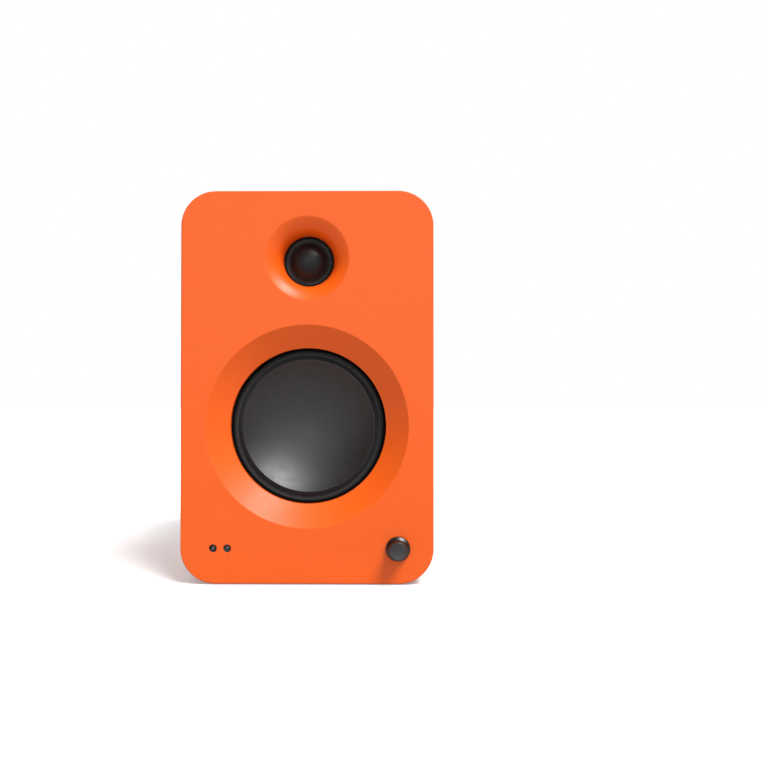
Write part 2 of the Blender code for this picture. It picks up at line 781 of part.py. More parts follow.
def cap_profile():
    """The screw cap, waisted for the fingers and bored through for the plug."""
    inner, front = 0.0037, 0.0049
    return [
        (inner, front),
        (0.0068, front),
        (0.0075, 0.0060),
        (0.0075, 0.0110),
        (0.0066, 0.0125),
        (0.0066, 0.0150),
        (0.0075, 0.0165),
        (0.0075, 0.0210),
        (0.0068, POST_PROUD),
        (inner, POST_PROUD),
    ]


def rca_block():
    """Three phono sockets on one moulded body: left, right and subwoofer output."""
    depth = PLATE_INNER - FIT - 0.0130
    middle = sum(RCA_X) / len(RCA_X)
    body = block("rca_block", 0.054, 0.013, 0.0130, placed(middle, depth, SIGNAL_ROW), "gold_plate")
    for i, x in enumerate(RCA_X):
        barrel = [
            (0, -0.006),
            (0.0050, -0.006),
            (0.0050, 0.0012),
            (0.0042, 0.0012),
            (0.0042, 0.0085),
            (0.0036, 0.0090),
            (0.0017, 0.0090),
            (0.0017, 0.0010),
            (0, 0.0010),
        ]
        at = placed(x, DEPTH, SIGNAL_ROW)
        weld(body, turned(f"rca_barrel_{i}", barrel, at, None, SMALL))


def small_sockets():
    """Aux, optical, USB and HDMI sockets, each a body behind the plate with its mouth in a hole."""
    body, behind = 0.0130, PLATE_INNER - FIT - 0.0130
    aux = block("aux_jack", 0.011, 0.012, body, placed(AUX_X, behind, DIGITAL_ROW), "black_plastic")
    nose = disc("aux_nose", 0.0033, 0.0065, placed(AUX_X, DEPTH - 0.005, DIGITAL_ROW), sides=SMALL)
    bore = disc("aux_bore", 0.0018, 0.014, placed(AUX_X, DEPTH - 0.011, DIGITAL_ROW), sides=SMALL)
    cut(weld(aux, nose), bore)

    at = placed(OPTICAL_X, behind, DIGITAL_ROW)
    optical = block("optical_jack", 0.0116, 0.0106, body + PLATE + 2 * FIT, at, "black_plastic")
    mouth_at = placed(OPTICAL_X, DEPTH - 0.007, DIGITAL_ROW)
    cut(optical, slab("optical_mouth", 0.0086, 0.0076, 0.0012, 0.012, mouth_at, steps=1))

    hollow_shell("usb_c_socket", USB_X, (0.0090, 0.0034), 0.0016, 0.00035, (0.0064, 0.0009))
    hollow_shell("hdmi_socket", HDMI_X, (0.0150, 0.0056), 0.0005, 0.0005, (0.0110, 0.0012))


def hollow_shell(name, x, size, radius, wall, tongue):
    """A drawn metal shell round a flat tongue, open at the plate. Sizes are (width, height)."""
    behind, long, floor = PLATE_INNER - FIT - 0.0110, 0.0150, 0.003
    shell = slab(name, *size, radius, long, placed(x, behind, DIGITAL_ROW), "plated_steel", 2)
    inner = [side - 2 * wall for side in size]
    room_at = placed(x, behind + floor, DIGITAL_ROW)
    room = slab(f"{name}_room", *inner, max(radius - wall, 0.0002), long, room_at, steps=2)
    leaf = block(f"{name}_leaf", *tongue, 0.0105, placed(x, behind + floor / 2, DIGITAL_ROW))
    weld(cut(shell, room), leaf)


def plate_housing(name, x, body, rim):
    """A snap-in housing of that (width, height, radius), with a rim outside the plate."""
    behind, over = CIRCUIT_BACK + FIT, 0.0010
    outer_face = placed(x, DEPTH + FIT, MAINS_ROW)
    long = DEPTH + FIT + over - behind
    housing = slab(name, *body, long, placed(x, behind, MAINS_ROW), "black_plastic", 1)
    return weld(housing, slab(f"{name}_rim", *rim, 0.0015, outer_face, None, 2))


def mains_inlet():
    """A two-pin figure-8 inlet: flange, body, socket and pins."""
    inlet = plate_housing("mains_inlet", INLET_X, (0.022, 0.016, 0.0008), (0.030, 0.021, 0.003))
    pitch, lobe, socket, pin = 0.0078, 0.0041, 0.0110, 0.0012
    bottom = DEPTH - socket
    bridge_at = placed(INLET_X, bottom, MAINS_ROW)
    cut(inlet, block("inlet_bridge", pitch, 0.0050, 2 * socket, bridge_at))
    for i, side in enumerate((-1, 1)):
        at = placed(INLET_X + side * pitch / 2, bottom, MAINS_ROW)
        cut(inlet, disc(f"inlet_lobe_{i}", lobe, 2 * socket, at, sides=SMALL))
    for i, side in enumerate((-1, 1)):
        at = placed(INLET_X + side * (pitch / 2 + 0.0004), bottom - 0.001, MAINS_ROW)
        weld(inlet, disc(f"inlet_pin_{i}", pin, socket - 0.0005, at, sides=8))


def power_switch():
    """A rocker switch: the frame in the plate, and the rocker on its own cross pin."""
    frame = plate_housing("switch_frame", SWITCH_X, (0.013, 0.0194, 0.0006), (0.015, 0.0212, 0.0012))
    room_at = placed(SWITCH_X, DEPTH - 0.009, MAINS_ROW)
    cut(frame, block("switch_room", 0.0106, 0.0176, 0.020, room_at))

    # The rocker's side view: a bent top over a round hub, leaning one way at rest.
    lean, reach, hub, crest = math.radians(8), 0.0079, 0.0030, 0.0036
    outline = [
        (reach, 0.0022),
        (0, crest - 0.0012),
        (-reach, 0.0022),
        (-reach, -0.0010),
        *arc(0, -0.0012, hub, 190, 350, 4),
        (reach, -0.0010),
    ]
    shape = bmesh.new()
    half = 0.0050
    sides = []
    for x in (-half, half):
        ring = []
        for up, out in outline:
            turned_up = up * math.cos(lean) - out * math.sin(lean)
            turned_out = up * math.sin(lean) + out * math.cos(lean)
            ring.append(shape.verts.new((x, turned_out, turned_up)))
        sides.append(ring)
        shape.faces.new(ring)
    for i in range(len(outline)):
        j = (i + 1) % len(outline)
        shape.faces.new((sides[0][i], sides[0][j], sides[1][j], sides[1][i]))
    add("power_rocker", shape, placed(SWITCH_X, DEPTH, MAINS_ROW), "black_plastic")


def electronics():
    """The amplifier board and what stands on its inner side."""
    front = CIRCUIT_BACK - CIRCUIT
    block("amp_board", 0.124, 0.136, CIRCUIT, placed(0, front, PLATE_MIDDLE), "circuit_green")
    surface = front - FIT

    core, coil_length = 0.030, 0.022
    core_at = placed(-0.034, surface - core, 0.062)
    transformer = block("power_transformer", 0.038, 0.034, core, core_at, "ferrite")
    wound_at = placed(-0.034, surface - core + 0.004, 0.062)
    weld(transformer, block("transformer_winding", 0.028, 0.044, coil_length, wound_at))

    can, tall, bead = 0.0125, 0.036, 0.0006
    profile = [
        (0, surface - tall),
        (can, surface - tall),
        (can, surface - 0.006),
        (can - bead, surface - 0.005),
        (can - bead, surface - 0.004),
        (can, surface - 0.003),
        (can, surface),
        (0, surface),
    ]
    turned("filter_capacitor", profile, placed(0.026, 0, 0.060), "black_plastic", SMALL)
    heat_sink(surface)


def heat_sink(surface):
    """An extruded comb of fins standing off the board."""
    fins, pitch, fin, base, tall, length = 8, 0.0075, 0.0018, 0.005, 0.026, 0.048
    width = fins * pitch
    comb = [(-width / 2, surface), (width / 2, surface)]
    for i in range(fins):
        right = width / 2 - i * pitch
        comb += [(right, surface - tall), (right - fin, surface - tall)]
        if i < fins - 1:
            comb += [(right - fin, surface - base), (right - pitch, surface - base)]
        else:
            comb += [(right - fin, surface - base), (-width / 2, surface - base)]
    shape = bmesh.new()
    rings = [[shape.verts.new((x, y, z)) for x, y in comb] for z in (-length / 2, length / 2)]
    for ring in rings:
        shape.faces.new(ring)
    for i in range(len(comb)):
        j = (i + 1) % len(comb)
        shape.faces.new((rings[0][i], rings[0][j], rings[1][j], rings[1][i]))
    add("heat_sink", shape, placed(0.022, 0, 0.118), "bright_aluminium")


def driver_lead(name, points, radius=0.0013):
    """A two-core lead inside the cabinet, on one smooth curve through its own points."""
    knots = [placed(*p) for p in points]
    padded = [2 * knots[0] - knots[1], *knots, 2 * knots[-1] - knots[-2]]
    curve = bpy.data.curves.new(name, "CURVE")
    curve.dimensions = "3D"
    curve.bevel_depth = radius
    curve.bevel_resolution = 1
    curve.use_fill_caps = True
    path, steps = [], 3
    for a, b, c, d in zip(padded, padded[1:], padded[2:], padded[3:]):
        for i in range(steps):
            t = i / steps
            bend, twist = 2 * a - 5 * b + 4 * c - d, 3 * b - a - 3 * c + d
            path.append((2 * b + (c - a) * t + bend * t**2 + twist * t**3) / 2)
    path.append(knots[-1])
    spline = curve.splines.new("POLY")
    spline.points.add(len(path) - 1)
    for point, place in zip(spline.points, path):
        point.co = (*place, 1.0)
    lead = bpy.data.objects.new(name, curve)
    curve.materials.append(finish("lead_jacket"))
    bpy.context.scene.collection.objects.link(lead)


def wiring():
    """One lead to each drive unit, from the amplifier board forward."""
    board = CIRCUIT_BACK - CIRCUIT - FIT
    woofer_route = [
        (-0.050, board, 0.150),
        (-0.051, board - 0.030, 0.148),
        (-0.056, 0.160, 0.135),
        (-0.060, 0.125, 0.125),
        (-0.060, 0.090, 0.128),
        (-0.058, 0.062, 0.128),
        (-0.053, 0.044, 0.1290),
    ]
    tweeter_route = [
        (-0.056, board, 0.160),
        (-0.058, board - 0.030, 0.166),
        (-0.056, 0.160, 0.185),
        (-0.050, 0.125, 0.215),
        (-0.044, 0.090, 0.232),
        (-0.038, 0.060, 0.240),
        (-0.034, 0.0385, 0.2418),
    ]
    driver_lead("woofer_lead", woofer_route)
    driver_lead("tweeter_lead", tweeter_route)


def main():
    clear_scene()
    cabinet()
    front_fascia()
    port_tube()
    woofer()
    tweeter()
    controls()
    amplifier_plate()
    plate_screws()
    terminals()
    rca_block()
    small_sockets()
    mains_inlet()
    power_switch()
    electronics()
    wiring()


main()
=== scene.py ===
"""Looks of a powered bookshelf speaker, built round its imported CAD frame.

Metres, +Z up, the front faces -Y. Depths are counted back from the front face, and a section is
an outline of (x, z) points at one depth. Every turned piece has its axis along Y.
"""

import math

import bmesh
import bpy
from mathutils import Matrix, Vector
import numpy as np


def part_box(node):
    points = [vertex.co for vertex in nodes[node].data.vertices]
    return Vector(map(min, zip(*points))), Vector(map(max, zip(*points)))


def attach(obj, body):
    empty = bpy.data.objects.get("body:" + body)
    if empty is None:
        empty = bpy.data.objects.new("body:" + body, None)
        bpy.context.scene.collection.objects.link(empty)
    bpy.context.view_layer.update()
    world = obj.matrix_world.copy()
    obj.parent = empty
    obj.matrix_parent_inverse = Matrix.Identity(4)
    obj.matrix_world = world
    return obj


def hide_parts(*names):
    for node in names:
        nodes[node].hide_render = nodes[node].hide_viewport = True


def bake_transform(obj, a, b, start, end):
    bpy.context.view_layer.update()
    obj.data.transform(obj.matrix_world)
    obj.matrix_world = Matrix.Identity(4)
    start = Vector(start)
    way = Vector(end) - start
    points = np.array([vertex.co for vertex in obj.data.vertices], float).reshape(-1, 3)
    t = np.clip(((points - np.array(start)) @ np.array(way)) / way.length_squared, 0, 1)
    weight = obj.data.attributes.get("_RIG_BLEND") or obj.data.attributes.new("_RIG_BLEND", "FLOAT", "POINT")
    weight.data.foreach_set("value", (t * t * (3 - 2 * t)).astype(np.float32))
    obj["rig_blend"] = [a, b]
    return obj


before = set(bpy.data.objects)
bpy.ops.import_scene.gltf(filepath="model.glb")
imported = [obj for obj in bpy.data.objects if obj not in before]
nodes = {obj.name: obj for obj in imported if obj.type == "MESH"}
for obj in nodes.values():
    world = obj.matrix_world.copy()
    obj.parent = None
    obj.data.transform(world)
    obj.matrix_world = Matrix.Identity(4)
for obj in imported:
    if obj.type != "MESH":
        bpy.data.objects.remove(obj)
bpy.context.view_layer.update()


def middle(node):
    low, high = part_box(node)
    return (low + high) / 2


def numbered(stem):
    """The names of the CAD nodes stem_1 to stem_4, each with its middle."""
    return [(f"{stem}_{i}", middle(f"{stem}_{i}")) for i in range(1, 5)]


# ---- Places, from the CAD frame --------------------------------------------------------------
FASCIA_LOW, FASCIA_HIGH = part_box("front_fascia")
FRONT = FASCIA_LOW.y
BASE = FASCIA_LOW.z
WIDTH = FASCIA_HIGH.x - FASCIA_LOW.x
HEIGHT = FASCIA_HIGH.z - BASE
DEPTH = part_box("cabinet_shell")[1].y - FRONT
MIDDLE = BASE + HEIGHT / 2
FRONT_ORIGIN = (0, FRONT, 0)
WOOFER = middle("woofer_cone").z
TWEETER = middle("tweeter_dome").z
KNOB = middle("volume_knob")
STATUS = middle("status_lens")
SENSOR = middle("sensor_window")
PORT = middle("port_tube").z
PLATE = middle("amp_plate")
PLATE_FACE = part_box("amp_plate")[1].y - FRONT
RCA = middle("rca_block")
AUX = middle("aux_jack")
OPTICAL = middle("optical_jack")
USB = middle("usb_c_socket")
HDMI = middle("hdmi_socket")
INLET = middle("mains_inlet")
SWITCH = middle("switch_frame")
RCA_X = [RCA.x + step * 0.018 for step in (1, 0, -1)]
POSTS = {colour: middle(f"terminal_post_{colour}") for colour in ("red", "black")}

# ---- Sizes -----------------------------------------------------------------------------------
CORNER = 0.026
WALL = 0.012
FASCIA = 0.020
BOARD = 0.012
FIT = 0.0003
FRONT_EDGE = 0.0010
BACK_EDGE = 0.0016

FLARE_RADIUS = 0.0756
FLARE_DEPTH = 0.0105
WOOFER_OPENING = 0.0588
CONE_RADIUS = 0.0506
CONE_CURVATURE = 0.078
CONE_DEPTH = 0.0146
CONE_THICK = 0.0006
ROLL_RADIUS = 0.0541
ROLL_WIDTH = 0.0042
ROLL_LIP = 0.0155

WAVEGUIDE_RADIUS = 0.0313
WAVEGUIDE_DEPTH = 0.0165
TWEETER_OPENING = 0.0191
TWEETER_POCKET = 0.0365
TWEETER_FACE = 0.0180
DOME_RADIUS = 0.0135
DOME_RISE = 0.0060

KNOB_RADIUS = 0.00915
KNOB_PROUD = 0.0125
WINDOW_RADIUS = 0.0029
FRONT_WALL = 0.009  # left in front of the control board's pocket

PORT_BORE = 0.020
PORT_FLARE = 0.010
PORT_FLANGE = 0.034
PLATE_WIDTH = 0.150
PLATE_HEIGHT = 0.164
PLATE_THICK = 0.003
PLATE_CORNER = 0.008
SEAM = 0.0003  # gap under the flanges of the inlet and the switch
FLANGE = 0.0018  # how far those flanges stand proud

ROCKER_LEAN = math.radians(8)
ROCKER_REACH = 0.0079
ROCKER_CREST = 0.0024
ROCKER_END = 0.0022

ROUND = 128  # sides of a large round piece
UPRIGHT = Matrix.Rotation(math.pi / 2, 3, "X")  # stands a turned piece on end


# ---- Materials -------------------------------------------------------------------------------
class Finish:
    """A node material under construction, with its textures in the piece's own metres."""

    def __init__(self, name):
        self.material = bpy.data.materials.new(name)
        self.material.use_nodes = True
        self.tree = self.material.node_tree
        self.shader = self.tree.nodes["Principled BSDF"]
        self.place = self.node("ShaderNodeTexCoord").outputs["Object"]
        self.normal = None

    def node(self, kind, **settings):
        made = self.tree.nodes.new(kind)
        for key, value in settings.items():
            setattr(made, key, value)
        return made

    def link(self, source, target):
        self.tree.links.new(source, target)

    def noise(self, size, detail, stretch=None):
        """Noise whose features are about that size in metres, or drawn out by stretch."""
        texture = self.node("ShaderNodeTexNoise")
        texture.inputs["Scale"].default_value = 1.0 / size
        texture.inputs["Detail"].default_value = detail
        where = self.place
        if stretch:
            scaled = self.node("ShaderNodeVectorMath", operation="MULTIPLY")
            scaled.inputs[1].default_value = stretch
            self.link(where, scaled.inputs[0])
            where = scaled.outputs[0]
        self.link(where, texture.inputs["Vector"])
        return texture.outputs["Fac"]

    def wave(self, pitch, direction, kind="BANDS", distortion=0.0):
        """A sine wave with that many metres from crest to crest."""
        texture = self.node("ShaderNodeTexWave", wave_type=kind)
        if kind == "BANDS":
            texture.bands_direction = direction
        else:
            texture.rings_direction = direction
        texture.inputs["Scale"].default_value = math.pi / (10 * pitch)
        texture.inputs["Distortion"].default_value = distortion
        self.link(self.place, texture.inputs["Vector"])
        return texture.outputs["Fac"]

    def spread(self, value, low, high, start=0.3, end=0.7):
        """value from start to end, mapped to low to high."""
        mapped = self.node("ShaderNodeMapRange")
        for socket, number in zip(("From Min", "From Max", "To Min", "To Max"), (start, end, low, high)):
            mapped.inputs[socket].default_value = number
        self.link(value, mapped.inputs["Value"])
        return mapped.outputs["Result"]

    def product(self, a, b):
        made = self.node("ShaderNodeMath", operation="MULTIPLY")
        self.link(a, made.inputs[0])
        self.link(b, made.inputs[1])
        return made.outputs[0]

    def tint(self, dark, light, factor):
        """Colour that goes from dark to light as factor goes from 0 to 1."""
        mix = self.node("ShaderNodeMix", data_type="RGBA")
        mix.inputs["A"].default_value = (*dark, 1.0)
        mix.inputs["B"].default_value = (*light, 1.0)
        self.link(factor, mix.inputs["Factor"])
        self.link(mix.outputs["Result"], self.shader.inputs["Base Color"])

    def patches(self, size, detail):
        return self.spread(self.noise(size, detail), 0.0, 1.0)

    def bump(self, height, rise):
        """Adds relief that many metres high."""
        made = self.node("ShaderNodeBump")
        made.inputs["Distance"].default_value = rise
        self.link(height, made.inputs["Height"])
        if self.normal is not None:
            self.link(self.normal, made.inputs["Normal"])
        self.normal = made.outputs["Normal"]
        self.link(self.normal, self.shader.inputs["Normal"])

    def rough(self, low, high, factor):
        self.link(self.spread(factor, low, high), self.shader.inputs["Roughness"])

    def set(self, **values):
        for key, value in values.items():
            self.shader.inputs[key.replace("_", " ")].default_value = value


def plain_finish(name, base, drift, rough, grain, metallic=0.0):
    """Colour that drifts a little, roughness that varies, and a fine grain: grain is (size, rise)."""
    made = Finish(name)
    dark = [c * (1 - drift) for c in base]
    light = [min(1.0, c * (1 + drift)) for c in base]
    made.tint(dark, light, made.patches(0.018, 4.0))
    made.rough(*rough, made.noise(0.006, 5.0))
    made.bump(made.noise(grain[0], 3.0), grain[1])
    made.set(Metallic=metallic)
    return made


def tinted_finish(name, dark, light, patch, rough, spot):
    """Colour between two tones in patches, and roughness in spots: patch and spot are (size, detail)."""
    made = Finish(name)
    made.tint(dark, light, made.patches(*patch))
    made.rough(*rough, made.noise(*spot))
    return made


# name: colour, its drift, roughness, (size, rise) of the grain, metallic
PLAIN_FINISHES = {
    "orange_paint": ((0.865, 0.113, 0.003), 0.012, (0.37, 0.44), (0.00035, 0.0000012)),
    "black_cone": ((0.081, 0.081, 0.082), 0.03, (0.48, 0.54), (0.00022, 0.0000016), 1.0),
    "black_rubber": ((0.010, 0.010, 0.0105), 0.12, (0.58, 0.68), (0.0004, 0.000006)),
    "black_plastic": ((0.022, 0.022, 0.023), 0.08, (0.38, 0.52), (0.00045, 0.00001)),
    "black_metal": ((0.018, 0.018, 0.019), 0.07, (0.46, 0.58), (0.0006, 0.00003)),
    "knob_metal": ((0.082, 0.081, 0.083), 0.04, (0.34, 0.42), (0.0003, 0.000001), 1.0),
    "plated_steel": ((0.56, 0.56, 0.54), 0.06, (0.22, 0.36), (0.0004, 0.000002), 1.0),
    "bright_aluminium": ((0.66, 0.67, 0.68), 0.04, (0.30, 0.42), (0.0003, 0.000002), 1.0),
    "ferrite": ((0.042, 0.042, 0.046), 0.15, (0.55, 0.75), (0.0008, 0.00002), 0.25),
    "copper_wire": ((0.62, 0.22, 0.075), 0.08, (0.24, 0.36), (0.0003, 0.000002), 1.0),
    "circuit_green": ((0.010, 0.085, 0.030), 0.10, (0.28, 0.42), (0.0010, 0.000006)),
    "gold_plate": ((0.80, 0.53, 0.17), 0.05, (0.16, 0.28), (0.0004, 0.000002), 1.0),
    "red_plastic": ((0.42, 0.008, 0.010), 0.05, (0.30, 0.42), (0.0005, 0.000008)),
    "white_plastic": ((0.62, 0.62, 0.60), 0.04, (0.32, 0.44), (0.0005, 0.000008)),
    "print_ink": ((0.42, 0.42, 0.42), 0.08, (0.55, 0.7), (0.0003, 0.000003)),
    "smoked_lens": ((0.016, 0.012, 0.012), 0.10, (0.10, 0.18), (0.0008, 0.000002)),
    "clear_lens": ((0.10, 0.085, 0.08), 0.10, (0.14, 0.24), (0.0008, 0.000003)),
    "lead_jacket": ((0.018, 0.018, 0.018), 0.10, (0.45, 0.60), (0.0008, 0.000012)),
}
# name: dark tone, light tone, (size, detail) of the patches, roughness, (size, detail) of its spots
TINTED_FINISHES = {
    "raw_board": ((0.22, 0.14, 0.075), (0.44, 0.30, 0.17), (0.0012, 6.0), (0.78, 0.95), (0.003, 4.0)),
    # near-black felt with little specular, darker than real felt: painted shade for the shadowed gaps beside
    # the woofer's and tweeter's rolls
    "painted_shade_felt": (
        (0.0012, 0.0011, 0.0011), (0.004, 0.0038, 0.0038), (0.0006, 6.0), (0.92, 1.0), (0.001, 3.0)
    ),
    "black_silk": ((0.005, 0.005, 0.005), (0.009, 0.009, 0.0095), (0.003, 3.0), (0.34, 0.44), (0.0012, 3.0)),
    "spider_cloth": ((0.30, 0.16, 0.045), (0.52, 0.31, 0.11), (0.002, 4.0), (0.75, 0.92), (0.001, 3.0)),
}
# (coat, its roughness) of the finishes that have one
COATS = {
    "copper_wire": (0.6, 0.15),
    "circuit_green": (0.3, 0.2),
    "smoked_lens": (0.5, 0.08),
    "clear_lens": (0.4, 0.1),
}
SPECULAR = {"orange_paint": 0.42, "painted_shade_felt": 0.08, "black_silk": 0.31, "black_metal": 0.55}


def foam_finish():
    """Dark cells with lighter walls: the hollows of the cells are darker as painted shade, and the walls
    lighter.
    """
    made = Finish("black_foam")
    texture = made.node("ShaderNodeTexVoronoi")
    texture.inputs["Scale"].default_value = 1 / 0.0012
    made.link(made.place, texture.inputs["Vector"])
    cells = texture.outputs["Distance"]
    # painted shade: the tint is darkest at each cell's centre, where the bump sinks a hollow, and lighter on
    # the walls between
    made.tint((0.006, 0.006, 0.007), (0.040, 0.040, 0.043), made.spread(cells, 0, 1, 0, 1))
    made.rough(0.9, 1.0, made.noise(0.004, 3.0))
    made.bump(cells, 0.0004)
    return made


def make_finishes():
    """Every finish by name: the tables' rows, and then the relief that sets some of them apart."""
    made = {name: plain_finish(name, *row) for name, row in PLAIN_FINISHES.items()}
    made.update((name, tinted_finish(name, *row)) for name, row in TINTED_FINISHES.items())
    made["black_foam"] = foam_finish()

    def noisy(name, rise, *noise):
        made[name].bump(made[name].noise(*noise), rise)

    def rippled(name, rise, *wave):
        made[name].bump(made[name].wave(*wave), rise)

    def woven(name, pitch, rise):
        across, down = (made[name].wave(pitch, direction) for direction in "XZ")
        made[name].bump(made[name].product(across, down), rise)

    noisy("orange_paint", 0.0000022, 0.0022, 1.0)  # a trace of spray texture
    rippled("black_cone", 0.0000004, 0.0011, "Y", "RINGS", 0.4)
    rippled("knob_metal", 0.0000010, 0.00022, "Y", "RINGS", 0.3)  # fine turning marks
    noisy("plated_steel", 0.00001, 0.006, 5.0)
    noisy("bright_aluminium", 0.000006, 0.0004, 3.0, (1.0, 1.0, 0.04))  # brushed along Z
    rippled("copper_wire", 0.00008, 0.00035, "Y")  # turns of wire side by side
    noisy("raw_board", 0.00006, 0.0005, 5.0)
    noisy("painted_shade_felt", 0.00004, 0.0003, 5.0)  # matted fibres
    woven("black_silk", 0.00045, 0.000015)
    woven("spider_cloth", 0.0009, 0.00008)
    for name, (coat, rough) in COATS.items():
        made[name].set(Coat_Weight=coat, Coat_Roughness=rough)
    for name, level in SPECULAR.items():
        made[name].set(Specular_IOR_Level=level)
    return {name: finish.material for name, finish in made.items()}


def dress_frame():
    """Gives every CAD node the made finish of its own slot, and returns the finishes by name."""
    imported = {node: [slot.material.name for slot in obj.material_slots] for node, obj in nodes.items()}
    for old in list(bpy.data.materials):
        old.name = "imported_" + old.name
    made = make_finishes()
    for node, obj in nodes.items():
        for slot, name in zip(obj.material_slots, imported[node]):
            slot.material = made[name.split(".")[0]]
    return made


finishes = dress_frame()


# ---- Outlines and profiles -------------------------------------------------------------------
def outline(width, height, radius, steps=16, x=0.0, z=0.0):
    """A rectangle with round corners, counted from +X towards +Z."""
    reach_x, reach_z = width / 2 - radius, height / 2 - radius
    points = []
    for quarter, (side, up) in enumerate(((1, 1), (-1, 1), (-1, -1), (1, -1))):
        for i in range(steps + 1):
            turn = math.pi / 2 * (quarter + i / steps)
            across, rise = radius * math.cos(turn), radius * math.sin(turn)
            points.append((x + side * reach_x + across, z + up * reach_z + rise))
    return points


def circle(radius, x=0.0, z=0.0, sides=ROUND):
    turns = [math.tau * i / sides for i in range(sides)]
    return [(x + radius * math.cos(t), z + radius * math.sin(t)) for t in turns]


def figure_eight(lobe, pitch, waist, x, z, steps=14):
    """Two round lobes joined by a narrower waist."""
    start = math.asin(waist / 2 / lobe)
    points = []
    for first, hub in ((start - math.pi, x + pitch / 2), (start, x - pitch / 2)):
        for i in range(steps + 1):
            turn = first + (math.tau - 2 * start) * i / steps
            points.append((hub + lobe * math.cos(turn), z + lobe * math.sin(turn)))
    return points


def cushioned(width, height, corner, near, far, near_edge, far_edge, steps=6, x=0.0, z=0.0):
    """Sections of a plate whose two rims are rounded, with a flat band inside the near rim."""
    def section(inset, depth):
        rounded = max(corner - inset, 0.0001)
        return outline(width - 2 * inset, height - 2 * inset, rounded, x=x, z=z), depth

    turns = [math.pi / 2 * i / steps for i in range(steps + 1)]
    front = [section(near_edge * (1 - math.sin(t)), near + near_edge * (1 - math.cos(t))) for t in turns]
    back = [section(far_edge * (1 - math.cos(t)), far - far_edge * (1 - math.sin(t))) for t in turns]
    if near_edge:
        front.insert(0, section(2.5 * near_edge, near))
    else:
        front = front[:1]
    if far_edge:
        back.append(section(2.5 * far_edge, far))
    else:
        back = back[:1]
    return front + back


def softened(points, closed=True, steps=5):
    """Points (radius, depth) or (radius, depth, fillet), with each fillet worked in as an arc."""
    count = len(points)
    made = []
    for i, point in enumerate(points):
        here = Vector(point[:2])
        fillet = point[2] if len(point) == 3 else 0.0
        if not fillet or (not closed and i in (0, count - 1)):
            made.append(tuple(here))
            continue
        back = Vector(points[i - 1][:2]) - here
        ahead = Vector(points[(i + 1) % count][:2]) - here
        half = back.angle(ahead) / 2
        run = min(fillet / math.tan(half), 0.48 * back.length, 0.48 * ahead.length)
        radius = run * math.tan(half)
        back.normalize()
        ahead.normalize()
        hub = here + (back + ahead).normalized() * (radius / math.sin(half))
        start, end = here + back * run - hub, here + ahead * run - hub
        sweep = start.angle_signed(end)
        for k in range(steps + 1):
            turn = -sweep * k / steps
            c, s = math.cos(turn), math.sin(turn)
            made.append((hub.x + start.x * c - start.y * s, hub.y + start.x * s + start.y * c))
    return made


def half_roll(centre, half, lip, rise, steps, start=180.0, end=0.0):
    """Points over a half round that stands off a lip towards the front."""
    turns = [math.radians(start + (end - start) * i / steps) for i in range(steps + 1)]
    return [(centre + half * math.cos(t), lip - rise * half * math.sin(t)) for t in turns]


def cap_height(radius, curvature):
    """How far a sphere of that curvature rises above its rim of that radius."""
    return curvature - math.sqrt(curvature**2 - radius**2)


# ---- Pieces ----------------------------------------------------------------------------------
class Skin:
    """A closed surface made of tubes between sections, and of flat fills between rings."""

    def __init__(self):
        self.shape = bmesh.new()

    def tube(self, sections):
        rings = [[self.shape.verts.new((x, d, z)) for x, z in points] for points, d in sections]
        for near, far in zip(rings, rings[1:]):
            self.join(near, far)
        return rings[0], rings[-1]

    def join(self, near, far):
        count = len(near)
        for i in range(count):
            j = (i + 1) % count
            self.shape.faces.new((near[i], near[j], far[j], far[i]))

    def fill(self, *rings):
        edges = []
        for ring in rings:
            for a, b in zip(ring, ring[1:] + ring[:1]):
                edges.append(self.shape.edges.get((a, b)) or self.shape.edges.new((a, b)))
        bmesh.ops.triangle_fill(self.shape, use_beauty=True, edges=edges, normal=(0, -1, 0))

    def cap(self, ring):
        self.shape.faces.new(ring)

    def solid(self, sections):
        """A tube closed at both ends."""
        near, far = self.tube(sections)
        self.cap(near)
        self.cap(far)
        return self

    def loop(self, sections):
        """A tube that closes on its first section."""
        first, last = self.tube(sections)
        self.join(last, first)
        return self


def spin(profile, sides=ROUND, ripple=None):
    """A closed outline of (radius, depth) points turned about Y. ripple(radius, depth, turn) may move
    a point in or out."""
    shape = bmesh.new()
    rings = []
    for radius, depth in profile:
        if radius < 1e-7:
            rings.append([shape.verts.new((0, depth, 0))])
            continue
        ring = []
        for i in range(sides):
            turn = math.tau * i / sides
            reach = ripple(radius, depth, turn) if ripple else radius
            ring.append(shape.verts.new((reach * math.cos(turn), depth, reach * math.sin(turn))))
        rings.append(ring)
    for near, far in zip(rings, rings[1:] + rings[:1]):
        for i in range(sides):
            j = (i + 1) % sides
            corners = [near[i % len(near)], near[j % len(near)], far[j % len(far)], far[i % len(far)]]
            corners = list(dict.fromkeys(corners))
            if len(corners) > 2:
                shape.faces.new(corners)
    return shape


def piece(name, shape, finish, body="cabinet", at=FRONT_ORIGIN, replaces=None, sharp=32, even=True):
    """An object from a bmesh or a Skin, riding on its body. A body of None leaves it free."""
    if isinstance(shape, Skin):
        shape = shape.shape
    bmesh.ops.recalc_face_normals(shape, faces=shape.faces)
    mesh = bpy.data.meshes.new(name)
    shape.to_mesh(mesh)
    shape.free()
    mesh.shade_smooth()
    mesh.set_sharp_from_angle(angle=math.radians(sharp))
    mesh.materials.append(finishes[finish])
    return place(name, mesh, body, at, replaces, even)


def add_object(name, data):
    made = bpy.data.objects.new(name, data)
    bpy.context.scene.collection.objects.link(made)
    return made


def place(name, mesh, body, at, replaces=None, even=True):
    """Another object on a mesh, riding on its body and standing for the CAD node it replaces."""
    made = add_object(name, mesh)
    made.location = at
    if even:
        made.modifiers.new("even_shading", "WEIGHTED_NORMAL").keep_sharp = True
    if body:
        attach(made, body)
    if replaces:
        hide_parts(replaces)
    return made


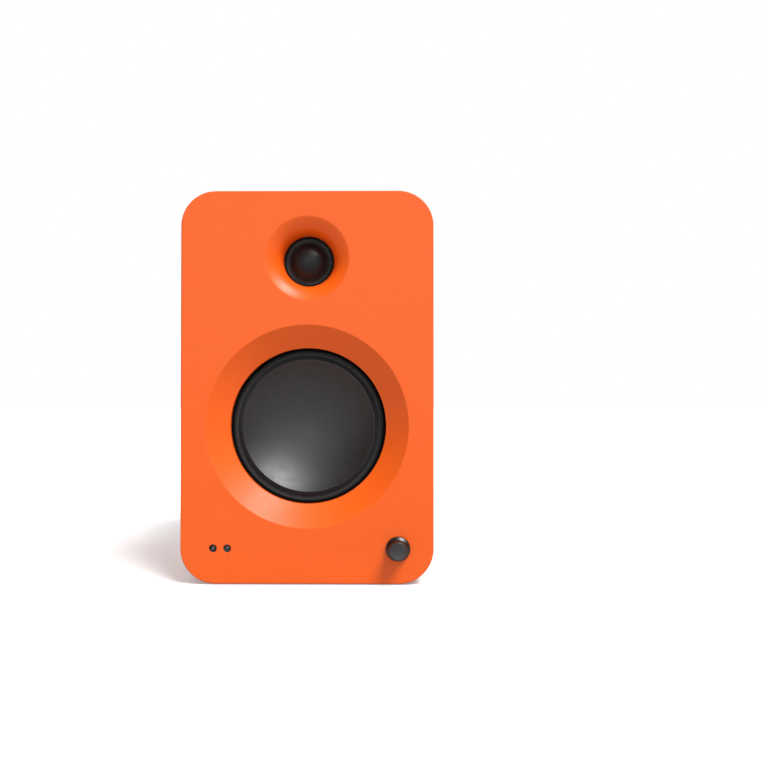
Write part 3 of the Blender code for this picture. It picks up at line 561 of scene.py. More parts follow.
def turned(name, profile, finish, at, sides=ROUND, steps=5, **more):
    """A piece turned from a closed profile, whose points may carry fillets."""
    return piece(name, spin(softened(profile, steps=steps), sides), finish, at=at, **more)


def cut(target, *cutters):
    """Takes each cutter's shape out of target's own mesh."""
    for modifier in target.modifiers:
        modifier.show_viewport = False
    for cutter in cutters:
        mesh = bpy.data.meshes.new("cutter")
        bmesh.ops.recalc_face_normals(cutter, faces=cutter.faces)
        cutter.to_mesh(mesh)
        cutter.free()
        tool = add_object("cutter", mesh)
        step = target.modifiers.new("cut", "BOOLEAN")
        step.operation = "DIFFERENCE"
        step.solver = "EXACT"
        step.object = tool
        graph = bpy.context.evaluated_depsgraph_get()
        result = bpy.data.meshes.new_from_object(target.evaluated_get(graph))
        target.modifiers.remove(step)
        target.data = result
        bpy.data.objects.remove(tool)
    for modifier in target.modifiers:
        modifier.show_viewport = True
    target.data.shade_smooth()
    target.data.set_sharp_from_angle(angle=math.radians(32))


def block(width, height, near, far, hub, corner=0.0004, edge=0.0002):
    """A box with round corners and rims, over that place on the plate."""
    return Skin().solid(cushioned(width, height, corner, near, far, edge, edge, 2, hub.x, hub.z))


def front_at(x, z):
    return (x, FRONT, z)


def back_at(hub):
    return (hub.x, FRONT + DEPTH, hub.z)


def on_axis(profile, x, z, sides=ROUND):
    return [(circle(radius, x, z, sides), depth) for radius, depth in profile]


def bending_ring(name, shape, finish, height, node, sharp, moving, outer, inner):
    """A turned ring that bends from the cabinet, at its outer radius, to the moving body at its
    inner one."""
    ring = piece(name, shape, finish, None, front_at(0, height), node, sharp, even=False)
    hub = Vector(ring.location)
    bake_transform(ring, "cabinet", moving, start=hub + Vector((outer, 0, 0)), end=hub + Vector((inner, 0, 0)))
    # A ring needs the same weight all the way round.
    weights = ring.data.attributes["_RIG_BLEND"].data
    for weight, vertex in zip(weights, ring.data.vertices):
        radius = math.hypot(vertex.co.x - hub.x, vertex.co.z - hub.z)
        share = min(max((outer - radius) / (outer - inner), 0.0), 1.0)
        weight.value = share * share * (3 - 2 * share)


# ---- Cabinet ---------------------------------------------------------------------------------
def waveguide(steps=40, left_out=5):
    """The tweeter's flare: its slope grows from a shallow mouth to a steep throat. The first few
    steps are left out to make room for the mouth's fillet."""
    mouth_slope, even_growth, late_growth = 25, 17, 42
    run = (WAVEGUIDE_RADIUS - TWEETER_OPENING) / steps
    points, depth = [], 0.0
    for i in range(steps):
        inward = (i + 0.5) / steps
        depth += run * math.tan(math.radians(mouth_slope + even_growth * inward + late_growth * inward**3))
        points.append((WAVEGUIDE_RADIUS - run * (i + 1), depth))
    scale = WAVEGUIDE_DEPTH / depth
    return [(WAVEGUIDE_RADIUS, 0, 0.004)] + [(radius, scale * d) for radius, d in points[left_out:]]


def front_panel():
    """The painted front: both flares, the knob's seat, two windows, and the control board's pocket."""
    skin = Skin()
    back = FASCIA + FIT / 2
    sections = cushioned(WIDTH, HEIGHT, CORNER, 0, back, FRONT_EDGE, 0, z=MIDDLE)
    outer_front, outer_back = skin.tube(sections)

    rebate, rebate_depth = 0.0708, 0.0145
    woofer = [
        (FLARE_RADIUS + 0.003, 0), (FLARE_RADIUS, 0, 0.0012), (WOOFER_OPENING, FLARE_DEPTH, 0.0002),
        (WOOFER_OPENING, rebate_depth), (rebate, rebate_depth), (rebate, back),
    ]
    woofer_front, woofer_back = skin.tube(on_axis(softened(woofer, False), 0, WOOFER))
    ledge = WAVEGUIDE_DEPTH + 0.0005
    tweeter = [
        (WAVEGUIDE_RADIUS + 0.003, 0), *waveguide(), (TWEETER_OPENING, ledge), (TWEETER_POCKET, ledge),
        (TWEETER_POCKET, back),
    ]
    tweeter_front, tweeter_back = skin.tube(on_axis(softened(tweeter, False), 0, TWEETER))

    seat, seat_depth, bush_radius = 0.0076, 0.0035, 0.00395
    bush = [(seat, 0), (seat, seat_depth), (bush_radius, seat_depth), (bush_radius, FRONT_WALL)]
    bush_front, bush_back = skin.tube(on_axis(bush, KNOB.x, KNOB.z, 48))
    window = [(WINDOW_RADIUS + 0.0006, 0), (WINDOW_RADIUS, 0, 0.00022), (WINDOW_RADIUS, FRONT_WALL)]
    windows = [skin.tube(on_axis(softened(window, False, 3), at.x, at.z, 40)) for at in (STATUS, SENSOR)]
    pocket = outline(0.158, 0.024, 0.001, 3, 0.001, KNOB.z)
    pocket_front, pocket_back = skin.tube([(pocket, FRONT_WALL), (pocket, back)])

    skin.fill(outer_front, woofer_front, tweeter_front, bush_front, *(w[0] for w in windows))
    skin.fill(pocket_front, bush_back, *(w[1] for w in windows))
    skin.fill(outer_back, woofer_back, tweeter_back, pocket_back)
    piece("front_panel", skin, "orange_paint", replaces="front_fascia")


def cabinet_wrap():
    """The bent shell behind the front panel, with its rear rim rounded and a seat for each foot."""
    near = FASCIA + FIT / 2
    inner = outline(WIDTH - 2 * WALL, HEIGHT - 2 * WALL, CORNER - WALL, z=MIDDLE)
    outside = cushioned(WIDTH, HEIGHT, CORNER, near, DEPTH, 0, BACK_EDGE, z=MIDDLE)
    skin = Skin().loop([*outside, (inner, DEPTH), (inner, near)])
    shell = piece("cabinet_wrap", skin, "orange_paint", replaces="cabinet_shell")
    radius, deep, high = 0.0083, 0.0026, 0.01
    for _, hub in numbered("foot"):
        seat = bmesh.new()
        bmesh.ops.create_cone(seat, cap_ends=True, segments=48, radius1=radius, radius2=radius, depth=high)
        bmesh.ops.translate(seat, verts=seat.verts, vec=(hub.x, hub.y - FRONT, BASE + deep - high / 2))
        cut(shell, seat)


def feet():
    """Rubber discs with a rounded tread and a shallow ring in the sole."""
    radius, thick, edge, hollow = 0.008, 0.003, 0.0005, 0.0003
    profile = softened(
        [
            (0, thick), (radius, thick), (radius, 0, edge), (radius * 0.62, 0, 0.0002),
            (radius * 0.60, hollow, 0.0001), (0, hollow),
        ]
    )
    for node, hub in numbered("foot"):
        shape = spin(profile, 48)
        bmesh.ops.rotate(shape, verts=shape.verts, cent=(0, 0, 0), matrix=UPRIGHT)
        piece(f"rubber_{node}", shape, "black_rubber", at=(hub.x, hub.y, 0), replaces=node)


def rear_board():
    """The painted rear panel, set inside the shell, with the port's hole and the plate's rebate."""
    skin = Skin()
    width, height = WIDTH - 2 * WALL - 2 * FIT, HEIGHT - 2 * WALL - 2 * FIT
    near = DEPTH - BOARD
    sections = cushioned(width, height, CORNER - WALL - FIT, near, DEPTH, 0, 0.0005, z=MIDDLE)
    front_ring, back_ring = skin.tube(sections)
    tube, hole, seat = 0.0305, PORT_FLANGE + FIT, DEPTH - 0.0033
    bore = [(tube, near), (tube, seat), (hole, seat), (hole, DEPTH, 0.0003), (hole + 0.001, DEPTH)]
    port_front, port_back = skin.tube(on_axis(softened(bore, False, 3), 0, PORT))

    wide, tall, corner = PLATE_WIDTH + 2 * FIT, PLATE_HEIGHT + 2 * FIT, PLATE_CORNER + FIT
    opening = outline(0.130, 0.144, 0.006, z=PLATE.z)
    rebate = outline(wide, tall, corner, z=PLATE.z)
    bevel = 0.0003
    chamfer = outline(wide + 2 * bevel, tall + 2 * bevel, corner + bevel, z=PLATE.z)
    ledge = DEPTH - PLATE_THICK - FIT
    plate_front, plate_back = skin.tube(
        [(opening, near), (opening, ledge), (rebate, ledge), (rebate, DEPTH - bevel), (chamfer, DEPTH)]
    )
    skin.fill(front_ring, port_front, plate_front)
    skin.fill(back_ring, port_back, plate_back)
    piece("rear_board", skin, "orange_paint", replaces="rear_panel")


def port():
    """The moulded bass port: a rolled mouth, a flush flange with a fine step, and a long bore."""
    inner_end = DEPTH - 0.118
    rolled = [
        (PORT_BORE + PORT_FLARE * (1 - math.cos(t)), DEPTH - PORT_FLARE * (1 - math.sin(t)))
        for t in (math.pi / 2 * i / 16 for i in range(16, -1, -1))
    ]
    profile = [
        *rolled, (PORT_BORE, inner_end + 0.010), (PORT_BORE + 0.0015, inner_end + 0.003, 0.002),
        (PORT_BORE + 0.004, inner_end, 0.001), (PORT_BORE + 0.006, inner_end, 0.0005),
        (PORT_BORE + 0.002, inner_end + 0.012, 0.002), (PORT_BORE + 0.002, DEPTH - 0.014, 0.002),
        (PORT_BORE + PORT_FLARE, DEPTH - 0.003), (PORT_FLANGE, DEPTH - 0.003), (PORT_FLANGE, DEPTH, 0.0004),
        (PORT_FLANGE - 0.0012, DEPTH, 0.0002), (PORT_FLANGE - 0.0014, DEPTH - 0.0003, 0.0001),
        (PORT_FLANGE - 0.0020, DEPTH - 0.0003, 0.0001), (PORT_FLANGE - 0.0022, DEPTH, 0.0002),
    ]
    turned("bass_port", profile, "black_plastic", front_at(0, PORT), replaces="port_tube")


def foam_lining():
    """Egg-crate foam round the walls: flat against the boards, with soft peaks inwards."""
    low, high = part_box("damping_foam")
    near, far = low.y - FRONT, high.y - FRONT
    width, height = high.x - low.x - 0.0004, high.z - low.z - 0.0004
    corner, thick, valley, pitch, trim = 0.0134, 0.0096, 0.0045, 0.0145, 0.0006
    rows, around = 34, 340

    def even_outline(inset):
        points = outline(width - 2 * inset, height - 2 * inset, max(corner - inset, 0.004), 8, z=MIDDLE)
        return resampled(points, around)

    outer, inner, floor = even_outline(0), even_outline(thick), even_outline(thick - valley)
    waves = round(2 * (width + height) / pitch)
    sections = []
    for row in range(rows + 1):
        depth = near + trim + (far - near - 2 * trim) * row / rows
        fade = min(1.0, row / 2, (rows - row) / 2)
        along = math.cos(math.tau * (depth - near) / pitch)
        points = []
        for i, (high_point, low_point) in enumerate(zip(inner, floor)):
            peak = fade * (0.5 + 0.25 * (math.cos(math.tau * waves * i / around) + along))
            points.append(tuple(a * peak + b * (1 - peak) for a, b in zip(high_point, low_point)))
        sections.append((points, depth))
    skin = Skin().loop([*sections, (outer, far - trim), (outer, near + trim)])
    made = piece("foam_lining", skin, "black_foam", replaces="damping_foam", sharp=70, even=False)


def resampled(points, count):
    """The closed outline's points, spaced evenly along it."""
    ring = [Vector(p) for p in points] + [Vector(points[0])]
    lengths = [0.0]
    for a, b in zip(ring, ring[1:]):
        lengths.append(lengths[-1] + (b - a).length)
    made, k = [], 0
    for i in range(count):
        wanted = lengths[-1] * i / count
        while lengths[k + 1] < wanted:
            k += 1
        span = lengths[k + 1] - lengths[k] or 1.0
        made.append(tuple(ring[k].lerp(ring[k + 1], (wanted - lengths[k]) / span)))
    return made


# ---- Woofer ----------------------------------------------------------------------------------
def dish_depth(radius):
    sag = cap_height(CONE_RADIUS, CONE_CURVATURE)
    return CONE_DEPTH + sag - cap_height(radius, CONE_CURVATURE)


def shell_profile(front, thick):
    """A closed profile: the front's points, and the same points further back."""
    return front + [(radius, depth + thick) for radius, depth in reversed(front)]


def woofer_dish():
    """One spun metal bowl with a small rolled rim."""
    steps, rim = 40, 0.0004
    flat = CONE_RADIUS - 0.0006
    radii = [flat * i / steps for i in range(steps + 1)]
    front = [(r, dish_depth(r)) for r in radii]
    lip = dish_depth(CONE_RADIUS)
    edge = [
        (flat + rim * math.sin(t), lip + rim * 0.2 - rim * math.cos(t))
        for t in (math.radians(a) for a in range(-50, 181, 22))
    ]
    back = [(r, d + CONE_THICK) for r, d in reversed(front)]
    piece(
        "woofer_dish", spin(front + edge + back, 160), "black_cone", "woofer_moving", front_at(0, WOOFER),
        "woofer_cone", sharp=50,
    )


def woofer_roll():
    """The rubber half roll, which curves inwards like the dish, with a lip on each side."""
    thick, half, rise = 0.0005, ROLL_WIDTH / 2, -0.85
    inner_lip, outer_lip = CONE_RADIUS - 0.0015, 0.0622
    glued = dish_depth(inner_lip) + CONE_THICK + FIT
    profile = [
        (inner_lip, glued),
        *half_roll(ROLL_RADIUS, half, ROLL_LIP, rise, 28),
        (ROLL_RADIUS + half + 0.0006, ROLL_LIP),
        (outer_lip, ROLL_LIP),
        (outer_lip, ROLL_LIP + thick),
        (ROLL_RADIUS + half + 0.0008, ROLL_LIP + thick),
        *half_roll(ROLL_RADIUS, half + thick, ROLL_LIP + thick / 2, rise, 28, 0, 180),
        (inner_lip, glued + thick),
    ]
    bending_ring(
        "woofer_roll", spin(profile, 160), "black_rubber", WOOFER, "woofer_surround", 50,
        "woofer_moving", ROLL_RADIUS + half, CONE_RADIUS,
    )


def woofer_spider():
    """Corrugated, resin-stiffened cloth that centres the voice coil."""
    inner, outer, level, wave, thick, folds = 0.0134, 0.0424, 0.0412, 0.0009, 0.0004, 6
    steps = 72
    front = []
    for i in range(steps + 1):
        share = i / steps
        fade = min(1.0, 6 * share, 6 * (1 - share))
        radius = inner + (outer - inner) * share
        front.append((radius, level - wave * fade * math.sin(math.pi * folds * share)))
    bending_ring(
        "spider", spin(shell_profile(front, thick), 96), "spider_cloth", WOOFER, "woofer_spider", 60,
        "woofer_moving", outer - 0.003, inner + 0.002,
    )


def woofer_shade_gasket():
    """A felt gasket on the surround's lip that closes the gap to the front panel, made near-black as painted
    shade for the shadowed gap between the roll and the opening's edge.
    """
    profile = [
        (0.0565, 0.0152, 0.0001), (0.0568, 0.0149, 0.0001), (0.0615, 0.0148, 0.0001), (0.0615, 0.0153),
        (0.0565, 0.0153),
    ]
    turned("woofer_shade_ring", profile, "painted_shade_felt", front_at(0, WOOFER))


# ---- Tweeter ---------------------------------------------------------------------------------
def tweeter_dome():
    """The silk dome, with a narrow flange under the roll."""
    thick, steps = 0.0004, 26
    curvature = (DOME_RADIUS**2 + DOME_RISE**2) / (2 * DOME_RISE)
    base = TWEETER_FACE - FIT
    radii = [DOME_RADIUS * i / steps for i in range(steps + 1)]
    front = [(r, base - DOME_RISE + cap_height(r, curvature) - thick) for r in radii]
    front.append((DOME_RADIUS + 0.0004, base - thick))
    piece(
        "soft_dome", spin(shell_profile(front, thick), 112), "black_silk", "tweeter_moving",
        front_at(0, TWEETER), "tweeter_dome", sharp=50,
    )


def tweeter_roll():
    """The small rubber half roll between the dome and the faceplate."""
    base, thick, hub, half, lip = TWEETER_FACE - FIT, 0.0004, 0.0160, 0.0020, 0.0186
    profile = [
        *half_roll(hub, half, base - thick, -0.8, 20),
        (lip, base - thick),
        (lip, base),
        *half_roll(hub, half + 0.0003, base, -0.75, 20, 0, 180),
    ]
    bending_ring(
        "dome_roll", spin(profile, 112), "black_rubber", TWEETER, "tweeter_surround", 60,
        "tweeter_moving", hub + half, hub - half,
    )


def tweeter_face():
    """The black moulded faceplate behind the dome, and a near-black felt ring at its edge, which is painted
    shade for the dark gap there.
    """
    face = TWEETER_FACE
    groove, back = face + 0.0024, face + 0.0049
    plate = [
        (0.0142, back), (0.0142, groove, 0.0002), (0.0184, groove, 0.0002), (0.0184, face, 0.0001),
        (0.0360, face, 0.0003), (0.0360, back, 0.0003),
    ]
    turned("dome_faceplate", plate, "black_plastic", front_at(0, TWEETER), replaces="tweeter_faceplate")
    # the collar: a near-black felt ring, painted shade for the shadowed gap at the faceplate's edge
    collar = [
        (0.0181, face - 0.0008), (0.0184, face - 0.0011, 0.0001), (0.0190, face - 0.0011, 0.0001),
        (0.0190, face - 0.0008),
    ]
    turned("dome_shade_ring", collar, "painted_shade_felt", front_at(0, TWEETER))


# ---- Front controls --------------------------------------------------------------------------
def volume_knob():
    """A turned knob: a flared skirt, a slim grip, a grooved shoulder and a shallow dished face. Its
    hex nut sits in the seat behind it."""
    proud, gap, skirt, face = KNOB_PROUD, 0.0008, 0.0005, 0.0064
    rim, steps, dish_deep = face - 0.0005, 12, 0.0004
    shaft, shaft_end = 0.0030, -0.0093
    dish = [(rim * i / steps, dish_deep * (1 - (i / steps) ** 2) - proud) for i in range(steps)]
    profile = [
        *dish, (rim, -proud, 0.0003), (face, -proud, 0.0002), (face + 0.0003, -proud + 0.0006, 0.0002),
        (face + 0.0001, -proud + 0.0010, 0.0002), (face + 0.0006, -gap - 0.0034, 0.0005),
        (KNOB_RADIUS - 0.0002, -gap - skirt - 0.0011, 0.0008), (KNOB_RADIUS, -gap - skirt, 0.0002),
        (KNOB_RADIUS, -gap, 0.0002), (shaft, -gap), (shaft, shaft_end), (0, shaft_end),
    ]
    turned(
        "turned_knob", profile, "knob_metal", front_at(KNOB.x, KNOB.z), 144, body="volume_control",
        replaces="volume_knob", sharp=40,
    )
    nut = [(0.0037, 0.0010), (0.0062, 0.0010), (0.0062, 0.0030), (0.0037, 0.0030)]
    piece("encoder_nut", spin(nut, 6), "plated_steel", at=front_at(KNOB.x, KNOB.z), sharp=20)


def light_guide(name, at, finish, node, tip, recess):
    """A stepped round guide: a tip of that radius, that far in, on a flange behind the front wall."""
    step, flange, back = FRONT_WALL + 0.0002, 0.004, 0.011
    profile = [
        (0, recess - 0.0002), (tip * 0.6, recess - 0.0001, 0.0004), (tip, recess + 0.0003, 0.0003),
        (tip, step), (flange, step + 0.0001), (flange, back), (0, back),
    ]
    turned(name, profile, finish, front_at(at.x, at.z), 48, replaces=node)


def window_bezel(name, at, bore, front):
    """The black sleeve round a guide, chamfered in towards it."""
    outer, inner, back = WINDOW_RADIUS - 0.0001, bore + 0.0001, FRONT_WALL - 0.0002
    profile = [
        (outer, front, 0.0001), (outer, back), (inner, back), (inner, front + 0.0008, 0.0001),
        (bore + 0.0006, front, 0.0003),
    ]
    turned(name, profile, "black_plastic", front_at(at.x, at.z), 48)


def indicators():
    """The status light with its die, and the sensor's window with its chip."""
    status_tip, sensor_tip = 0.0015, 0.0021
    light_guide("status_light", STATUS, "clear_lens", "status_lens", status_tip, 0.0008)
    window_bezel("status_bezel", STATUS, status_tip, 0.0004)
    die = [(0, 0.0004), (0.0004, 0.0004), (0.0006, 0.0006, 0.0001), (0.0006, 0.0020), (0, 0.0020)]
    turned("status_die", die, "smoked_lens", front_at(STATUS.x, STATUS.z), 32)

    light_guide("sensor_lens", SENSOR, "smoked_lens", "sensor_window", sensor_tip, 0.0010)
    window_bezel("sensor_bezel", SENSOR, sensor_tip, 0.0005)
    bar = block(0.0014, 0.0038, 0.0005, 0.0016, Vector(), corner=0.0006, edge=0.0003).shape
    bmesh.ops.rotate(bar, verts=bar.verts, cent=(0, 0, 0), matrix=Matrix.Rotation(math.radians(18), 3, "Y"))
    piece("sensor_chip", bar, "clear_lens", at=front_at(SENSOR.x, SENSOR.z))


# ---- Rear ------------------------------------------------------------------------------------
def screw_mesh():
    """A pan-head screw along Y, its head towards +Y, with a cross recess."""
    head, stem, under, end = 0.0035, 0.0016, -0.0006, -0.0082
    profile = softened(
        [
            (0, 0.0013), (head * 0.55, 0.00125, 0.001), (head, 0.0004, 0.0006), (head, under, 0.0001),
            (stem, under), (stem, -0.0070), (stem * 0.4, end), (0, end),
        ]
    )
    made = piece("screw_pattern", spin(profile, 32), "black_metal", None, (0, 0, 0))
    long, slot, deep, level = 0.0034, 0.0007, 0.0022, 0.0012
    bars = []
    for wide, tall in ((long, slot), (slot, long)):
        bar = bmesh.new()
        bmesh.ops.create_cube(bar, size=1.0)
        bmesh.ops.scale(bar, verts=bar.verts, vec=(wide, deep, tall))
        bmesh.ops.translate(bar, verts=bar.verts, vec=(0, level, 0))
        bars.append(bar)
    cut(made, *bars)
    mesh = made.data
    bpy.data.objects.remove(made)
    return mesh


def screws():
    """The plate's four corner screws and six more between them."""
    mesh = screw_mesh()
    seat, margin, row = FRONT + PLATE_FACE + 0.0007, 0.0055, 0.026
    for node, hub in numbered("plate_screw"):
        name = node.replace("plate", "corner")
        place(name, mesh, "cabinet", (hub.x, seat, hub.z), node)
    side, top = PLATE_WIDTH / 2 - margin, PLATE_HEIGHT / 2 - margin
    between = [(s * side, up * row) for s in (-1, 1) for up in (-1, 1)] + [(0, top), (0, -top)]
    for i, (x, up) in enumerate(between):
        place(f"edge_screw_{i + 1}", mesh, "cabinet", (x, seat, PLATE.z + up))


def drive_unit_screws():
    """Six screws in the woofer's flange and three in the tweeter's, their heads to the front."""
    mesh = screw_mesh()
    units = (("woofer", WOOFER, 6, 0.0665, 0.0163), ("tweeter", TWEETER, 3, 0.0318, TWEETER_FACE))
    for unit, height, count, radius, face in units:
        for i in range(count):
            turn = math.tau * (i + 0.5) / count
            at = (radius * math.cos(turn), FRONT + face - 0.0006, height + radius * math.sin(turn))
            made = place(f"{unit}_screw_{i + 1}", mesh, "cabinet", at)
            made.rotation_euler.z = math.pi


def plate_holes():
    """The outline of each hole in the amplifier plate: screws, posts, phono, and one per socket."""
    holes = [circle(0.0021, hub.x, hub.z, 24) for _, hub in numbered("plate_screw")]
    holes += [circle(0.0045, hub.x, hub.z, 32) for hub in POSTS.values()]
    holes += [circle(0.0053, x, RCA.z, 40) for x in RCA_X]
    holes.append(circle(0.0036, AUX.x, AUX.z, 32))
    # place, width, height, corner, steps round it
    sockets = (
        (OPTICAL, 0.0122, 0.0112, 0.0002, 2),
        (USB, 0.0100, 0.0042, 0.0018, 5),
        (HDMI, 0.0160, 0.0066, 0.0008, 3),
        (INLET, 0.0226, 0.0166, 0.0010, 3),
        (SWITCH, 0.0136, 0.0200, 0.0010, 3),
    )
    return holes + [outline(*size, hub.x, hub.z) for hub, *size in sockets]


def amplifier_plate():
    skin = Skin()
    near = PLATE_FACE - PLATE_THICK
    sections = cushioned(PLATE_WIDTH, PLATE_HEIGHT, PLATE_CORNER, near, PLATE_FACE, 0, 0.0006, z=PLATE.z)
    front_ring, back_ring = skin.tube(sections)
    holes = [skin.tube([(points, near), (points, PLATE_FACE)]) for points in plate_holes()]
    skin.fill(front_ring, *(h[0] for h in holes))
    skin.fill(back_ring, *(h[1] for h in holes))
    piece("rear_plate", skin, "black_metal", replaces="amp_plate")


INK_BASE = PLATE_FACE + 0.00001
INK_TOP = INK_BASE + 0.00003


def printed_frame(name, width, height, x, z, line=0.0003, corner=0.003):
    """A thin printed outline on the plate."""
    outer, inner = (
        outline(width - 2 * inset, height - 2 * inset, corner - inset, 8, x, z) for inset in (0, line)
    )
    skin = Skin().loop([(outer, INK_BASE), (outer, INK_TOP), (inner, INK_TOP), (inner, INK_BASE)])
    piece(name, skin, "print_ink", even=False)


def print_on_plate():
    """A frame round each group of sockets, and a plus and a minus over the terminals."""
    red, black = POSTS["red"], POSTS["black"]
    printed_frame("print_inputs", 0.058, 0.024, RCA.x, RCA.z)
    printed_frame("print_speaker", 0.042, 0.026, (red.x + black.x) / 2, RCA.z)
    printed_frame("print_digital", 0.112, 0.022, 0.004, AUX.z)
    long, stroke, up = 0.0022, 0.0005, RCA.z + 0.0105
    skin = Skin()
    for width, height, x in ((long, stroke, red.x), (stroke, long, red.x), (long, stroke, black.x)):
        points = outline(width, height, stroke * 0.3, 2, x, up)
        skin.solid([(points, INK_BASE), (points, INK_TOP)])
    piece("print_polarity", skin, "print_ink", even=False)


def terminals():
    """Each terminal: a collar on the plate, a gilt post, its loose washer and its screw cap."""
    for colour, hub in POSTS.items():
        at = back_at(hub)
        plastic = "red_plastic" if colour == "red" else "black_plastic"
        collar = [
            (0.0034, 0.0003), (0.0080, 0.0003), (0.0080, 0.0024, 0.0004), (0.0070, 0.0032, 0.0004),
            (0.0034, 0.0032),
        ]
        turned(f"terminal_collar_{colour}", collar, plastic, at, 48)
        stud = [
            (0, -0.0120), (0.0022, -0.0120, 0.0003), (0.0022, -0.0072), (0.0058, -0.0072, 0.0002),
            (0.0058, -0.0033, 0.0002), (0.0033, -0.0033), (0.0033, 0.0034), (0.0032, 0.0034),
            (0.0032, 0.0190, 0.0003), (0.0021, 0.0190, 0.0004), (0.0021, 0.0045), (0, 0.0045),
        ]
        turned(f"terminal_stud_{colour}", stud, "gold_plate", at, 40, 3, replaces=f"terminal_post_{colour}")
        washer = [(0.0037, 0.0036), (0.0062, 0.0036, 0.0002), (0.0062, 0.0046, 0.0002), (0.0037, 0.0046)]
        body = f"terminal_washer_{colour}"
        turned(f"loose_washer_{colour}", washer, "gold_plate", at, 48, 3, body=body, replaces=body)
        terminal_cap(f"terminal_cap_{colour}", f"fluted_cap_{colour}", plastic, at)


def terminal_cap(body, name, plastic, at):
    """The screw cap: two fluted bands with a waist between them."""
    inner, band, waist, flutes, groove = 0.0037, 0.0075, 0.0066, 18, 0.00035
    profile = [
        (inner, 0.0049), (0.0068, 0.0049, 0.0002), (band, 0.0058, 0.0003), (band, 0.0110, 0.0004),
        (waist, 0.0125, 0.0006), (waist, 0.0150, 0.0006), (band, 0.0165, 0.0004), (band, 0.0208, 0.0004),
        (waist, 0.0220, 0.0003), (inner, 0.0220, 0.0002),
    ]

    def fluted(radius, _, turn):
        share = min(max((radius - 0.0064) / 0.0010, 0.0), 1.0)
        return radius - groove * share * max(0.0, math.cos(flutes * turn)) ** 2

    shape = spin(softened(profile, steps=3), flutes * 10, ripple=fluted)
    piece(name, shape, plastic, body, at, body, sharp=40, even=False)


def phono_sockets():
    """Three gilt shells on one moulded body, each with a coloured insert."""
    body = block(0.054, 0.013, 0.2197, 0.2327, RCA)
    piece("phono_body", body, "black_plastic", replaces="rca_block")
    shell = [
        (0.0034, -0.0020), (0.0050, -0.0020), (0.0050, 0.0010, 0.0002), (0.0042, 0.0012, 0.0002),
        (0.0042, 0.0078, 0.0003), (0.0040, 0.0090, 0.0002), (0.0036, 0.0090, 0.0002), (0.0034, 0.0084),
    ]
    core = [
        (0, 0.0010), (0.0016, 0.0010), (0.0016, 0.0080, 0.0004), (0.0034, 0.0080, 0.0003), (0.0034, -0.0010),
        (0, -0.0010),
    ]
    for i, (x, insert) in enumerate(zip(RCA_X, ("red_plastic", "white_plastic", "black_plastic"))):
        at = (x, FRONT + DEPTH, RCA.z)
        turned(f"phono_shell_{i + 1}", shell, "gold_plate", at, 48, 3)
        turned(f"phono_insert_{i + 1}", core, insert, at, 40, 3)


def aux_socket():
    """A threaded ring round a bore, on a moulded body."""
    shell = block(0.011, 0.012, PLATE_FACE - 0.0163, PLATE_FACE - 0.0033, AUX)
    piece("aux_body", shell, "black_plastic", replaces="aux_jack")
    ring = [
        (0.0018, -0.0030), (0.0033, -0.0030), (0.0033, 0.0015, 0.0002), (0.0022, 0.0015, 0.0003),
        (0.0018, 0.0008),
    ]
    turned("aux_ring", ring, "plated_steel", back_at(AUX), 40, 3)


def optical_socket():
    """A square mouth closed by a small flap."""
    body = outline(0.0116, 0.0106, 0.0008, 4, OPTICAL.x, OPTICAL.z)
    mouth = outline(0.0086, 0.0076, 0.0012, 4, OPTICAL.x, OPTICAL.z)
    front, face, floor = PLATE_FACE - 0.0163, PLATE_FACE + 0.0003, PLATE_FACE - 0.0014
    skin = Skin().solid([(body, front), (body, face), (mouth, face), (mouth, floor)])
    piece("optical_body", skin, "black_plastic", replaces="optical_jack")
    flap = block(0.0080, 0.0070, floor, floor + 0.0006, OPTICAL, 0.0008)
    piece("optical_flap", flap, "smoked_lens")


def drawn_socket(name, node, hub, size, corner, wall, tongue, pads):
    """A drawn shell round a tongue with its contacts."""
    front, face, floor = PLATE_FACE - 0.0143, PLATE_FACE + 0.0006, PLATE_FACE - 0.0100
    outer = outline(*size, corner, 5, hub.x, hub.z)
    inner_size = [side - 2 * wall for side in size]
    inner = outline(*inner_size, corner - wall, 5, hub.x, hub.z)
    skin = Skin().solid([(outer, front), (outer, face), (inner, face), (inner, floor)])
    piece(f"{name}_shell", skin, "plated_steel", replaces=node)
    tip = face - 0.0014
    piece(f"{name}_tongue", block(*tongue, floor, tip, hub, 0.0002, 0.00015), "black_plastic")
    contacts = Skin()
    pitch = tongue[0] / pads
    for side in (-1, 1):
        for i in range(pads):
            x = hub.x + (i - (pads - 1) / 2) * pitch
            z = hub.z + side * tongue[1] / 2
            points = outline(pitch * 0.5, 0.00012, 0.00003, 1, x, z)
            contacts.solid([(points, floor), (points, tip - 0.0006)])
    piece(f"{name}_contacts", contacts, "gold_plate", even=False)


def moulded_well(name, node, body, flange_size, hub, well, floor):
    """A moulded body from its CAD node's front, with a flange on the plate and a well sunk in it."""
    *size, rounded = flange_size
    flange = cushioned(*size, DEPTH + SEAM, DEPTH + FLANGE, 0, rounded, 4, hub.x, hub.z)
    skin = Skin()
    first, rim = skin.tube([(body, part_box(node)[0].y - FRONT), (body, DEPTH + SEAM), *flange])
    mouth, bottom = skin.tube([(well, DEPTH + FLANGE), (well, floor)])
    skin.cap(first)
    skin.cap(bottom)
    skin.fill(rim, mouth)
    piece(name, skin, "black_plastic", replaces=node)


